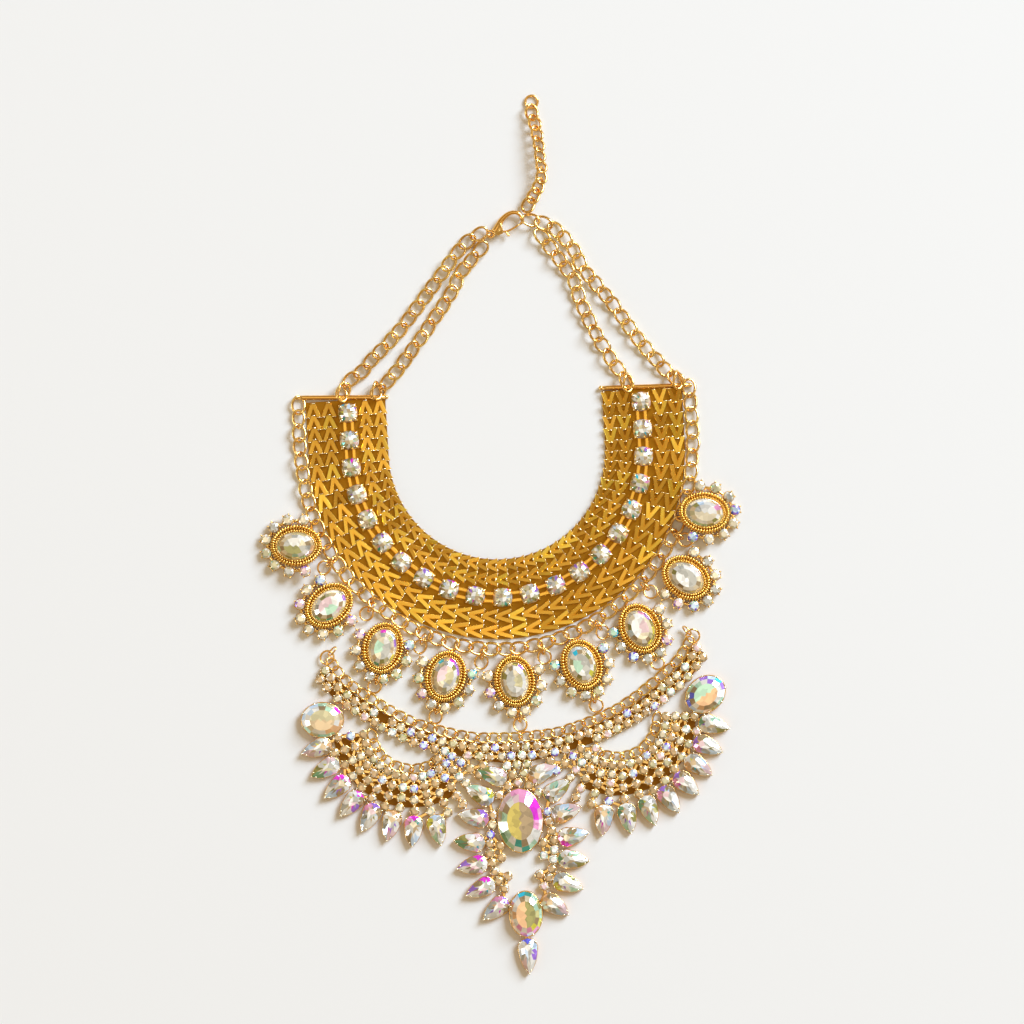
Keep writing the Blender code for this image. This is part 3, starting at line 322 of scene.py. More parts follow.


# Cuts a stone in steps: two rows of facets round it, then a table that the jagged line parts in
# two colours, as the foil under it shows. Colours of the rows, painted fire and glints, run anticlockwise from
# +X.
def addStepStone(casting, outline, cut, place, rim, table):
    count = len(outline)
    rings = ((outline, 0.94, cut["foot"]), (outline, 1.0, cut["girdle"]),
             (outline, cut["crownShare"], cut["crown"]), (outline, cut["tableShare"], cut["top"]))
    points = ringsOf(rings, place)
    faces, tones = [list(range(count))], [toneOf("umber")]
    heart = place.translation
    for i in range(count):
        after = (i + 1) % count
        turn = turnOf(points[i] + points[after] - 2 * heart)
        for row in range(3):
            near, far = row * count, (row + 1) * count
            faces.append([near + i, near + after, far + after, far + i])
        lower = colourAt(rim, i, count) if rim else paintedFireColour(turn, 0.55)
        upper = colourAt(rim, after, count) if rim else paintedFireColour(turn, 0.70)
        tones.append(toneOf(chance.choice(("taupe", "umber", "olive"))))
        tones.append(toneOf(lower))
        plain = chance.random() >= 0.55
        tones.append(toneOf(chance.choice(("white", "cream", "taupe", "white")) if plain else upper))
    tableSize = Vector((outline[0].x, max(p.y for p in outline), 0)) * cut["tableShare"]
    first, half = 3 * count, count // 2
    line = [len(points) + i for i in range(len(jaggedLine))]
    points += [place @ Vector((x * tableSize.x, y * tableSize.y, cut["top"])) for x, y in jaggedLine]
    for side, colour in enumerate(table):
        edge = [first + (side * half + i) % count for i in range((count - half if side else half) + 1)]
        seam = line[::-1] if side else line
        last, end = len(edge) - 1, len(seam) - 1
        third = last // 3
        for start, stop, near, far in ((0, third, 0, 1), (third, last - third, 1, end - 1),
                                       (last - third, last, end - 1, end)):
            faces.append(edge[start:stop + 1] + seam[near:far + 1][::-1])
            whole = near == 1 or not cut["shards"]
            tones.append(toneOf(colour if whole else chance.choice((colour, "grey", "white", "cream"))))
    casting.add(points, faces, tones, smooth=False)


# Slanted grains round an oval.
def addRope(casting, place, halfLength, halfWidth, rope):
    for i in range(rope["count"]):
        t = 2 * math.pi * i / rope["count"]
        along = math.atan2(halfWidth * math.cos(t), -halfLength * math.sin(t))
        x, y = halfLength * math.cos(t), halfWidth * math.sin(t)
        here = placed(x, y, rope["height"], along + rope["slant"])
        addGrain(casting, place @ here, rope["grain"], 4, 6, roped, chance.uniform(0.3, 0.8))


# Adds a shader node. "given" holds, for each input, a socket to link it to or its value.
def addNode(tree, kind, given, **settings):
    made = tree.nodes.new("ShaderNode" + kind)
    for name, value in settings.items():
        setattr(made, name, value)
    for port, value in given.items():
        if isinstance(value, bpy.types.NodeSocket):
            tree.links.new(value, made.inputs[port])
        else:
            made.inputs[port].default_value = value
    return made


# How far a value has come from "low" to "high", from 0 to 1.
def shareBetween(tree, value, low, high):
    return addNode(tree, "MapRange", {"Value": value, "From Min": low, "From Max": high}).outputs["Result"]


def newGroup(name, inputs, outputs):
    group = bpy.data.node_groups.new(name, "ShaderNodeTree")
    for direction, ports in (("INPUT", inputs), ("OUTPUT", outputs)):
        for port, kind in ports.items():
            group.interface.new_socket(port, in_out=direction, socket_type=kind)
    return group, group.nodes.new("NodeGroupInput").outputs, group.nodes.new("NodeGroupOutput").inputs


def newFinish(name):
    made = bpy.data.materials.new(name)
    made.use_nodes = True
    return made.node_tree, made.node_tree.nodes["Principled BSDF"]


colourSocket, numberSocket = "NodeSocketColor", "NodeSocketFloat"


# Plating over brass: bright where rubbed, with a fine grain. Its hollows, found by pointiness, are darkened
# and dulled as painted shade.
def platedMetalGroup():
    inputs = {"Plating": colourSocket, "Rubbed": colourSocket, "Hollow Shade": colourSocket,
              "Cloud Size": numberSocket, "Grain Size": numberSocket, "Polished": numberSocket,
              "Dull": numberSocket, "Tone Spread": numberSocket}
    outputs = {"Colour": colourSocket, "Roughness": numberSocket, "Grain": numberSocket}
    group, given, result = newGroup("platedMetal", inputs, outputs)
    place = addNode(group, "TexCoord", {}).outputs["Object"]
    cloud = addNode(group, "TexNoise", {"Vector": place, "Scale": given["Cloud Size"], "Detail": 3})
    grain = addNode(group, "TexNoise", {"Vector": place, "Scale": given["Grain Size"], "Detail": 2})
    bend = addNode(group, "NewGeometry", {}).outputs["Pointiness"]
    edges = shareBetween(group, bend, 0.50, 0.60)
    # Painted shade: below a pointiness of one half the colour turns towards the hollow colour.
    hollowShadeMask = shareBetween(group, bend, 0.50, 0.38)
    patches = shareBetween(group, cloud.outputs["Fac"], 0.35, 0.70)
    share = addNode(group, "Math", {0: patches, 1: 0.22}, operation="MULTIPLY").outputs["Value"]
    rubbing = addNode(group, "Math", {0: edges, 1: share}, operation="MAXIMUM").outputs["Value"]
    worn = addNode(group, "Mix", {"Factor": rubbing, "A": given["Plating"], "B": given["Rubbed"]},
                   data_type="RGBA").outputs["Result"]
    withHollowShade = addNode(group, "Mix", {"Factor": hollowShadeMask, "A": worn, "B": given["Hollow Shade"]},
                     data_type="RGBA").outputs["Result"]
    tone = addNode(group, "Attribute", {}, attribute_name="tone").outputs["Fac"]
    shift = addNode(group, "Math", {0: tone, 1: 0.5}, operation="SUBTRACT").outputs["Value"]
    gain = addNode(group, "Math", {0: shift, 1: given["Tone Spread"], 2: 1.0}, operation="MULTIPLY_ADD")
    toned = addNode(group, "HueSaturation", {"Color": withHollowShade, "Value": gain.outputs["Value"]})
    gloss = addNode(group, "MapRange", {"Value": cloud.outputs["Fac"], "To Min": given["Polished"],
                                        "To Max": given["Dull"]})
    group.links.new(toned.outputs["Color"], result["Colour"])
    group.links.new(gloss.outputs["Result"], result["Roughness"])
    group.links.new(grain.outputs["Fac"], result["Grain"])
    return group


# Each metal's colours, the sizes of its clouds and grain per metre, and its range of roughness. The hollow
# colour is painted shade.
metals = {
    "rosyGold": {"plating": (0.92, 0.44, 0.070), "rubbed": (1.0, 0.70, 0.27),
                 "hollowShade": (0.26, 0.085, 0.008), "cloud": 140, "grain": 2600,
                 "polished": 0.12, "dull": 0.28, "bump": 0.08, "spread": 0.5},
    "ropeGold": {"plating": (1.0, 0.48, 0.060), "rubbed": (1.0, 0.65, 0.17),
                 "hollowShade": (0.70, 0.26, 0.02), "cloud": 140, "grain": 2600,
                 "polished": 0.16, "dull": 0.30, "bump": 0.06, "spread": 0.3},
    "collarGold": {"plating": (0.80, 0.34, 0.006), "rubbed": (1.0, 0.60, 0.10),
                   "hollowShade": (0.26, 0.08, 0.003), "cloud": 60, "grain": 1900,
                   "polished": 0.20, "dull": 0.36, "bump": 0.12, "spread": 0.7},
    # Painted highlight: a paler copy of the gold for claws, prongs, lips and the plates' edge wires.
    "highlightGold": {"plating": (1.0, 0.76, 0.38), "rubbed": (1.0, 0.90, 0.66),
                   "hollowShade": (0.55, 0.26, 0.05), "cloud": 120, "grain": 2200,
                   "polished": 0.10, "dull": 0.20, "bump": 0.06, "spread": 0.2},
    # Painted shade: a darker copy of the gold for cups, bases and the rings under the ropes.
    "shadedGold": {"plating": (0.64, 0.24, 0.018), "rubbed": (0.76, 0.36, 0.05),
                   "hollowShade": (0.12, 0.040, 0.003), "cloud": 180, "grain": 1500,
                   "polished": 0.35, "dull": 0.60, "bump": 0.20, "spread": 0.5},
    # Threads and painted shade: a dark gold for the sheets under the collar.
    "threadsAndShadeGold": {"plating": (0.28, 0.120, 0.004), "rubbed": (0.46, 0.21, 0.015),
                 "hollowShade": (0.10, 0.038, 0.002), "cloud": 240, "grain": 3000,
                 "polished": 0.34, "dull": 0.58, "bump": 0.08, "spread": 0.5},
    # Painted shade: a dark gold for the sheets under the fringe's stones.
    "fieldShadeGold": {"plating": (0.19, 0.072, 0.006), "rubbed": (0.28, 0.12, 0.015),
                  "hollowShade": (0.06, 0.020, 0.002), "cloud": 240, "grain": 3000,
                  "polished": 0.34, "dull": 0.58, "bump": 0.08, "spread": 0.5},
}


def metalFinish(name, look, group):
    tree, shader = newFinish(name)
    shader.inputs["Metallic"].default_value = 1.0
    given = {"Cloud Size": look["cloud"], "Grain Size": look["grain"], "Polished": look["polished"],
             "Dull": look["dull"], "Tone Spread": look["spread"]}
    for port, key in (("Plating", "plating"), ("Rubbed", "rubbed"), ("Hollow Shade", "hollowShade")):
        given[port] = (*look[key], 1)
    wear = tree.nodes.new("ShaderNodeGroup")
    wear.node_tree = group
    for port, value in given.items():
        wear.inputs[port].default_value = value
    bump = addNode(tree, "Bump", {"Strength": look["bump"], "Distance": 0.0001,
                                  "Height": wear.outputs["Grain"]})
    tree.links.new(wear.outputs["Colour"], shader.inputs["Base Color"])
    tree.links.new(wear.outputs["Roughness"], shader.inputs["Roughness"])
    tree.links.new(bump.outputs["Normal"], shader.inputs["Normal"])


# Painted reflections of the foil under a facet: cells that are lighter or darker than it.
def foilReflectionsGroup():
    inputs = {"Colour": colourSocket, "Cell Size": numberSocket, "Strength": numberSocket}
    group, given, result = newGroup("foilReflections", inputs, {"Colour": colourSocket})
    place = addNode(group, "TexCoord", {}).outputs["Object"]
    cells = addNode(group, "TexVoronoi", {"Vector": place, "Scale": given["Cell Size"]})
    split = addNode(group, "SeparateColor", {"Color": cells.outputs["Color"]}).outputs["Red"]
    shift = addNode(group, "Math", {0: split, 1: 0.5}, operation="SUBTRACT").outputs["Value"]
    gain = addNode(group, "Math", {0: shift, 1: given["Strength"], 2: 1.0}, operation="MULTIPLY_ADD")
    lit = addNode(group, "HueSaturation", {"Color": given["Colour"], "Value": gain.outputs["Value"]})
    group.links.new(lit.outputs["Color"], result["Colour"])
    return group


crystals = {
    "largeCrystal": {"cells": 420, "paintedReflections": 0.45, "metallic": 0.35, "roughness": 0.07},
    "smallCrystal": {"cells": 900, "paintedReflections": 0.50, "metallic": 0.30, "roughness": 0.10},
}


# Steady steps of colour, one for each of the facet colours.
def facetRamp(tree):
    made = tree.nodes.new("ShaderNodeValToRGB")
    made.color_ramp.interpolation = "CONSTANT"
    elements = made.color_ramp.elements
    while len(elements) < len(facetOrder):
        elements.new(0.5)
    for i, colour in enumerate(facetOrder):
        elements[i].position = i / len(facetOrder)
        elements[i].color = (*facetColours[colour], 1)
    return made


def crystalFinish(name, look, group):
    tree, shader = newFinish(name)
    fixed = {"Metallic": look["metallic"], "Roughness": look["roughness"], "IOR": 1.6, "Coat Weight": 1.0,
             "Coat Roughness": 0.02}
    for port, value in fixed.items():
        shader.inputs[port].default_value = value
    colours = facetRamp(tree)
    facet = addNode(tree, "Attribute", {}, attribute_name="tone")
    tree.links.new(facet.outputs["Fac"], colours.inputs["Fac"])
    paintedReflections = tree.nodes.new("ShaderNodeGroup")
    paintedReflections.node_tree = group
    paintedReflections.inputs["Cell Size"].default_value = look["cells"]
    paintedReflections.inputs["Strength"].default_value = look["paintedReflections"]
    tree.links.new(colours.outputs["Color"], paintedReflections.inputs["Colour"])
    tree.links.new(paintedReflections.outputs["Colour"], shader.inputs["Base Color"])


def makeFinishes():
    plated = platedMetalGroup()
    for name, look in metals.items():
        metalFinish(name, look, plated)
    paintedReflections = foilReflectionsGroup()
    for name, look in crystals.items():
        crystalFinish(name, look, paintedReflections)
    print("finishes made")


# The routes of the collar, the swag chain and the strands, the same as in the frame.
collar = {"x": -0.6, "y": 35.7, "inner": 45.0, "innerWidth": 12.1, "stones": 61.5, "outer": 66.2,
          "outerWidth": 13.0, "edge": 79.2, "rightLeg": 21.5, "leftLeg": 24.0, "rowPitch": 5.1}
collarLength = collar["rightLeg"] + math.pi * collar["stones"] + collar["leftLeg"]
chainSag = (0.2, 0.6, 0.4, 0.0, 0.0, 0.0, 0.0, 0.2, 0.8, 1.2, 1.4)
swag = {"middle": 120.4, "hang": 41.2, "spread": math.radians(41.3)}
swagShares = (0.830, 0.885, 0.905, 0.925, 0.950, 0.973, 0.985, 0.995, 1.005, 1.002, 1.0)
backStrands = {
    ("Left", "Outer"): (
        (-63.4, 64.5), (-60.5, 68.8), (-54.5, 72.8), (-50.0, 77.8), (-44.5, 82.5), (-37.5, 89.5),
        (-31.8, 96.2), (-26.5, 102.5), (-22.0, 108.0), (-17.5, 113.5), (-13.0, 119.0),
        (-8.5, 123.6), (-2.7, 126.9)),
    ("Left", "Inner"): (
        (-48.8, 63.5), (-45.0, 67.0), (-40.0, 72.2), (-34.5, 79.0), (-29.0, 85.5), (-23.7, 92.5),
        (-18.7, 99.0), (-14.5, 105.0), (-12.2, 110.0), (-7.8, 115.0), (-2.5, 120.5)),
    ("Right", "Inner"): (
        (55.2, 62.2), (52.0, 67.5), (48.4, 73.5), (45.2, 79.5), (42.2, 86.0), (39.6, 92.5),
        (37.6, 98.5), (36.2, 104.5), (33.0, 110.5), (29.0, 116.5), (25.6, 121.5), (23.6, 124.5)),
    ("Right", "Outer"): (
        (76.0, 61.8), (72.0, 65.5), (68.0, 70.5), (64.0, 75.5), (60.0, 81.2), (56.0, 87.5),
        (51.5, 94.5), (46.8, 101.0), (42.5, 106.5), (39.5, 111.0), (37.2, 117.0), (33.5, 122.5),
        (29.0, 127.4), (24.0, 130.2), (19.1, 131.6)),
}
tailStart = (16.52, 133.42)  # the link in the clasp's hook, which the tail's route starts from
tailRoute = ((2.2, 4.6), (5.0, 8.9), (7.3, 13.2), (8.5, 17.8), (8.1, 22.8), (8.0, 27.6), (7.6, 32.6),
             (6.9, 38.1), (5.9, 42.8), (6.1, 47.8))


def onCollar(along, radius):
    if along < collar["rightLeg"]:
        return Vector((collar["x"] + radius, collar["y"] + collar["rightLeg"] - along, 0))
    angle = -(along - collar["rightLeg"]) / collar["stones"]
    if angle > -math.pi:
        return Vector((collar["x"] + radius * math.cos(angle), collar["y"] + radius * math.sin(angle), 0))
    rest = along - collar["rightLeg"] - math.pi * collar["stones"]
    return Vector((collar["x"] - radius, collar["y"] + rest, 0))


def headingAt(along):
    share = min(math.pi, max(0.0, (along - collar["rightLeg"]) / collar["stones"]))
    return -share - math.pi / 2


# The knots of a smooth curve, with one more at each end to lead it in and out.
def knotsOf(points):
    return [2 * points[0] - points[1]] + points + [2 * points[-1] - points[-2]]


# The point of the curve at share t of the way from b to c.
def curvePoint(a, b, c, d, t):
    bend = 2 * a - 5 * b + 4 * c - d
    return 0.5 * (2 * b + (c - a) * t + bend * t**2 + (3 * b - a - 3 * c + d) * t**3)


# Evenly spaced places on a smooth curve through the points, each with its direction.
def walkRoute(points, spacing, pieces=24):
    knots = knotsOf([Vector((p[0], p[1], 0)) for p in points])
    fine = []
    for a, b, c, d in zip(knots, knots[1:], knots[2:], knots[3:]):
        fine += [curvePoint(a, b, c, d, i / pieces) for i in range(pieces)]
    fine.append(knots[-2])
    reached = [0.0]
    for a, b in zip(fine, fine[1:]):
        reached.append(reached[-1] + (b - a).length)
    count = max(1, round(reached[-1] / spacing))
    step = reached[-1] / count
    found, k = [], 0
    for i in range(count + 1):
        while k < len(fine) - 2 and reached[k + 1] < i * step:
            k += 1
        share = (i * step - reached[k]) / max(1e-9, reached[k + 1] - reached[k])
        found.append((fine[k].lerp(fine[k + 1], share), (fine[k + 1] - fine[k]).normalized()))
    return found


def swagHalf():
    points = []
    for i, share in enumerate(swagShares):
        angle = swag["spread"] * (1 - i / (len(swagShares) - 1)) - math.pi / 2
        reach = swag["middle"] - swag["hang"] * (1 - share)
        points.append((reach * math.cos(angle), collar["y"] + reach * math.sin(angle)))
    return points


def swagPoints():
    half = swagHalf()
    return half + [(-x, y) for x, y in reversed(half[:-1])]


# The sizes of the links in the three kinds of chain.
chainLink = {"pitch": 5.8, "halfLength": 3.75, "halfWidth": 2.6, "twist": 0.60, "wire": 0.57, "around": 22,
             "sides": 7}
fineLink = {"pitch": 4.5, "halfLength": 2.95, "halfWidth": 2.0, "twist": 0.48, "wire": 0.45, "around": 20,
            "sides": 7}
tailLink = {"pitch": 4.5, "halfLength": 3.3, "halfWidth": 2.45, "twist": 0.70, "wire": 0.60, "around": 22,
            "sides": 8}


def linkLine(place, link):
    points = []
    for i in range(link["around"]):
        t = 2 * math.pi * i / link["around"]
        x, y = link["halfLength"] * math.cos(t), link["halfWidth"] * math.sin(t)
        points.append(place @ Vector((x, y, link["twist"] * math.sin(2 * t))))
    return points


def uprightOf(place):
    return (place.to_3x3() @ up).normalized()


def addLink(casting, place, link):
    line, tone = linkLine(place, link), chance.uniform(0.2, 0.8)
    addTube(casting, line, link["wire"], link["sides"], closed=True, upright=uprightOf(place), tone=tone)


# A link that leans on its side and rests on the floor with its lowest point.
def addRestingLink(casting, point, turn, lean, link):
    place = leaning(placed(point.x, point.y, 0, turn), lean, "X")
    lowest = min(p.z for p in linkLine(place, link))
    addLink(casting, Matrix.Translation((0, 0, link["wire"] + 0.05 - lowest)) @ place, link)


def addChain(casting, places, link):
    for i, (point, direction) in enumerate(places):
        turn = turnOf(direction) + chance.gauss(0, 0.08)
        addRestingLink(casting, point, turn, 0.22 * (-1) ** i + chance.gauss(0, 0.08), link)


standingLink = {"back": 1.0, "beyond": 2.0, "height": 2.6, "lean": math.radians(52)}


# Each strand starts with a link that stands in the end of its rod.
def backChains():
    for (side, strand), route in backStrands.items():
        casting = Casting()
        places = walkRoute(route, chainLink["pitch"])
        addChain(casting, places, chainLink)
        first, direction = places[0]
        bar = centreOf(f"end_bar_{side.lower()}")
        x, y = first.x - standingLink["back"] * direction.x, bar.y + standingLink["beyond"]
        hook = placed(x, y, standingLink["height"], math.pi / 2)
        addLink(casting, leaning(hook, standingLink["lean"], "X"), chainLink)
        node = f"back_chain_{side.lower()}_{strand.lower()}"
        makePiece(f"backChain{side}{strand}", casting, ["rosyGold"], [node])


def collarChain():
    sags = list(chainSag) + list(chainSag[-2::-1])
    route = []
    for i, sag in enumerate(sags):
        along = collarLength * i / (len(sags) - 1)
        route.append(onCollar(along, collar["edge"] + 0.3 + 2.3 + sag))
    casting = Casting()
    addChain(casting, walkRoute(route, chainLink["pitch"]), chainLink)
    makePiece("collarChain", casting, ["rosyGold"], ["outer_chain"])


def swagChain():
    casting = Casting()
    addChain(casting, walkRoute(swagPoints(), fineLink["pitch"]), fineLink)
    makePiece("swagChain", casting, ["rosyGold"], ["swag_chain"])


tailRing = {"radius": 2.6, "wire": 0.5, "height": 0.6}


def tailChain():
    casting = Casting()
    route = [(tailStart[0] + x, tailStart[1] + y) for x, y in tailRoute]
    places = walkRoute(route, tailLink["pitch"])
    for i, (point, direction) in enumerate(places[:-1]):
        lean = 0.15 + 0.62 * math.sin(math.pi * i / (len(places) - 2))
        addRestingLink(casting, point, turnOf(direction) + 0.22 * lean, lean, tailLink)
    last, direction = places[-1]
    radius = tailRing["radius"]
    ring = [last + p + up * tailRing["height"] for p in ovalLine(radius, radius, 24)]
    addTube(casting, ring, tailRing["wire"], 8, closed=True)
    makePiece("tailChain", casting, ["rosyGold"], ["extender_chain"])


endRod = {"height": 1.0, "radius": 0.95, "endRadius": 0.75, "cap": 0.99, "steps": 14, "margin": 0.1}
endRodSlopes = {"right": -1.5, "left": -3.0}


def endRods():
    for side, slope in endRodSlopes.items():
        low, high = (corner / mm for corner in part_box(f"end_bar_{side}"))
        middle = (low + high) / 2
        count = endRod["steps"]
        points, radii = [], []
        for i in range(count + 1):
            x = low.x + endRod["margin"] + (high.x - low.x - 2 * endRod["margin"]) * i / count
            y = middle.y + (x - middle.x) * math.tan(math.radians(slope))
            points.append(Vector((x, y, endRod["height"])))
            radii.append(endRod["radius"] if 0 < i < count else endRod["endRadius"])
        casting = Casting()
        addTube(casting, points, radii, 14)
        for point in (points[0], points[-1]):
            addBall(casting, point, endRod["cap"], 6, 12)
        makePiece(f"endRod{side.capitalize()}", casting, ["rosyGold"], [f"end_bar_{side}"])


# The V-shaped plates of the collar. They rise from their point to the ends of their arms.
plate = {"length": 6.3, "apexHalf": 1.0, "armWidth": 1.85, "notch": 2.7, "thickness": 0.42, "lowEnd": 0.60,
         "highEnd": 1.55, "chamfer": 0.20, "tilt": 0.24}
pointEnd = {"half": 0.85, "back": 0.2, "wire": 0.30, "above": 0.12, "bow": 0.1}
armEnd = {"wire": 0.17, "reach": 0.95}


# The outline moved inwards, which is where a plate's bevel ends.
def insetOutline(outline, distance):
    found = []
    count = len(outline)
    for i in range(count):
        before = (outline[i] - outline[i - 1]).normalized()
        after = (outline[(i + 1) % count] - outline[i]).normalized()
        inward = Vector((-before.y, before.x)), Vector((-after.y, after.x))
        both = inward[0] + inward[1]
        found.append(outline[i] + both * distance / max(0.35, 1 + inward[0].dot(inward[1])))
    return found


def addPlate(casting, along, radius, halfWidth):
    half = plate["length"] / 2
    foot, arm = halfWidth + 0.10, plate["armWidth"]
    corners = ((half, -plate["apexHalf"]), (half, plate["apexHalf"]), (-half, foot), (-half, foot - arm),
               (half - plate["notch"], 0.0), (-half, -foot + arm), (-half, -foot))
    outline = [Vector(p) for p in corners]
    inner = insetOutline(outline, plate["chamfer"])
    lift, roll = chance.gauss(0, plate["tilt"]), chance.gauss(0, plate["tilt"])
    rings = ((outline, 0.0), (outline, plate["thickness"] - plate["chamfer"]), (inner, plate["thickness"]))
    points = []
    for ring, rise in rings:
        for p in ring:
            share = 0.5 - p.x / plate["length"]
            z = plate["lowEnd"] + (plate["highEnd"] - plate["lowEnd"]) * share + rise
            z += lift * share + roll * p.y / foot * 0.5
            place = onCollar(along + p.x * 0.97, radius + p.y)
            points.append((place.x, place.y, z))
    faces = bandFaces(0, 7, 7) + bandFaces(7, 14, 7)
    for first in (0, 14):
        faces += [[first, first + 1, first + 4], [first + 1, first + 2, first + 3, first + 4],
                  [first, first + 4, first + 5, first + 6]]
    casting.add(points, faces, chance.uniform(0.15, 0.9), smooth=False)
    # The wire over the point and the short wires at the arms' ends are in the paler gold, as painted
    # highlights on the plates' edges.
    left = onCollar(along + half - pointEnd["back"], radius - pointEnd["half"])
    right = onCollar(along + half - pointEnd["back"], radius + pointEnd["half"])
    height = plate["lowEnd"] + plate["thickness"] + pointEnd["above"] + lift * 0.2
    crest = left.lerp(right, 0.5) + up * (height + pointEnd["bow"])
    addTube(casting, [left + up * height, crest, right + up * height], pointEnd["wire"], 6, metal=collarHighlight)
    top = plate["highEnd"] + plate["thickness"] + lift
    for near, far in ((foot - 0.2, foot - arm + 0.1), (arm - foot - 0.1, 0.2 - foot)):
        line = []
        for across in (near, far):
            height = top + roll * across / foot * 0.5
            line.append(onCollar(along - half * armEnd["reach"], radius + across) + up * height)
        addTube(casting, line, armEnd["wire"], 5, metal=collarHighlight)


# A thin sheet that stands for the threads which hold the plates. Its dark colour is also painted shade, seen
# through the gaps.
def addCollarSheet(casting, near, far, low, high, steps=96):
    edges = []
    for i in range(steps + 1):
        along = -1.0 + (collarLength + 2.0) * i / steps
        edges.append((onCollar(along, near), onCollar(along, far)))
    addSheet(casting, edges, low, high)


def collarPlates():
    rows = round(collarLength / collar["rowPitch"])
    pitch = collarLength / rows
    for band in ("inner", "outer"):
        start, width = collar[band], collar[f"{band}Width"]
        word = band.capitalize()
        casting = Casting()
        for row in range(rows):
            for share in (0.25, 0.75):
                along = min(collarLength - 2.4, max(2.4, (row + 0.5) * pitch))
                addPlate(casting, along, start + width * share, width / 4)
        shadeSheet = Casting()
        addCollarSheet(shadeSheet, start + 0.5, start + width - 0.2, 0.05, 0.45)
        makePiece(f"collarPlates{word}", casting, collarFinishes, [f"collar_band_{band}"])
        makePiece(f"collarThreadsAndShade{word}", shadeSheet, ["threadsAndShadeGold"], [])


# The collar's row of stones, each in a square cup with four claws.
clawCup = {"count": 21, "side": 8.2, "base": 7.5, "rim": 3.7, "wire": 0.40, "stoneHalf": 4.0}
cupLevels = ((0.3, 0.92), (1.0, 1.0), (1.3, 0.97))
clawLine = ((5.0, 0.9), (4.95, 2.3), (4.6, 3.3), (3.95, 3.9), (3.4, 3.95))
clawRadii = (0.50, 0.50, 0.46, 0.40, 0.28)
joinBar = {"width": 1.5, "low": 0.5, "high": 1.5, "offset": 1.6}
collarCut = {"foot": 1.2, "girdle": 2.5, "crown": 3.8, "crownShare": 0.80, "top": 4.6, "tableShare": 0.42}
collarTables = (
    ("grey", "taupe", "paleOlive", "white"), ("paleOlive", "taupe", "olive", "grey"),
    ("grey", "white", "paleOlive", "taupe"), ("taupe", "white", "paleOlive", "grey"),
)


def collarRow():
    cups, stones, sheet = Casting(), Casting(), Casting()
    margin = clawCup["side"] / 2 + 0.3
    step = (collarLength - 2 * margin) / (clawCup["count"] - 1)
    half = clawCup["base"] / 2
    square = [(-half, -half), (half, -half), (half, half), (-half, half)]
    for i in range(clawCup["count"]):
        along = margin + i * step
        middle = onCollar(along, collar["stones"])
        place = placed(middle.x, middle.y, 0, headingAt(along) + chance.gauss(0, 0.03))
        addStack(cups, square, cupLevels, place)
        rim = [place @ (p + up * 1.9) for p in cushionLine(clawCup["rim"], 28)]
        addTube(cups, rim, clawCup["wire"], 6, closed=True)
        for k in range(4):
            turn = math.pi / 4 + k * math.pi / 2
            line = [place @ Vector((r * math.cos(turn), r * math.sin(turn), z)) for r, z in clawLine]
            # The claws are in the paler gold, as painted highlights.
            addTube(cups, line, clawRadii, 7, metal=collarHighlight)
        table = chance.choice(collarTables)
        addStone(stones, cushionLine(clawCup["stoneHalf"], 14), collarCut, place, 0.70, table)
        if i:
            for offset in (-joinBar["offset"], joinBar["offset"]):
                start = onCollar(along - step + half - 0.2, collar["stones"] + offset)
                end = onCollar(along - half + 0.2, collar["stones"] + offset)
                addBar(cups, start, end, joinBar["width"], joinBar["low"], joinBar["high"])
    # The sheet under the cups, darkened as painted shade in the gaps between them.
    addCollarSheet(sheet, collar["inner"] + collar["innerWidth"] - 0.3, collar["outer"] + 0.6, 0.02, 0.42)
    makePiece("collarCups", cups, collarFinishes, ["collar_stones"])
    makePiece("collarCrystals", stones, ["largeCrystal"], [])
    makePiece("collarRowThreadsAndShade", sheet, ["threadsAndShadeGold"], [])


# How the round stones of the medallions and of the fringe are cut.
accentCut = {"foot": 1.0, "girdle": 2.0, "crown": 2.8, "crownShare": 0.84, "top": 3.25, "tableShare": 0.52}
smallCut = {"foot": 1.2, "girdle": 2.0, "crown": 2.5, "crownShare": 0.86, "top": 2.8, "tableShare": 0.56}

# Foils of the small stones, each listed as often as it turns up: its table, then its crown.
smallFoils = 6 * [("honey", "champagne", "paleOlive", "taupe", "honey")] + 4 * [
    ("honey", "peach", "taupe", "white", "taupe")] + 2 * [
    ("cream", "honey", "grey", "paleOlive", "taupe"),
    ("paleOlive", "cream", "honey", "grey", "olive")] + [
    ("blueWhite", "violet", "white", "blue", "blueWhite"),
    ("palePink", "champagne", "white", "peach", "cream"),
    ("white", "blueWhite", "mint", "grey", "white"),
    ("blueWhite", "blue", "white", "cream", "violet")]
accentFoils = 3 * [("cream", "paleOlive", "white", "champagne", "grey")] + 2 * [
    ("paleOlive", "mint", "white", "cream", "olive"),
    ("grey", "white", "champagne", "paleOlive", "taupe")] + [
    ("blueWhite", "blue", "white", "violet", "mint"),
    ("palePink", "white", "champagne", "violet", "cream"),
    ("mint", "white", "blueWhite", "paleOlive", "cyan")]


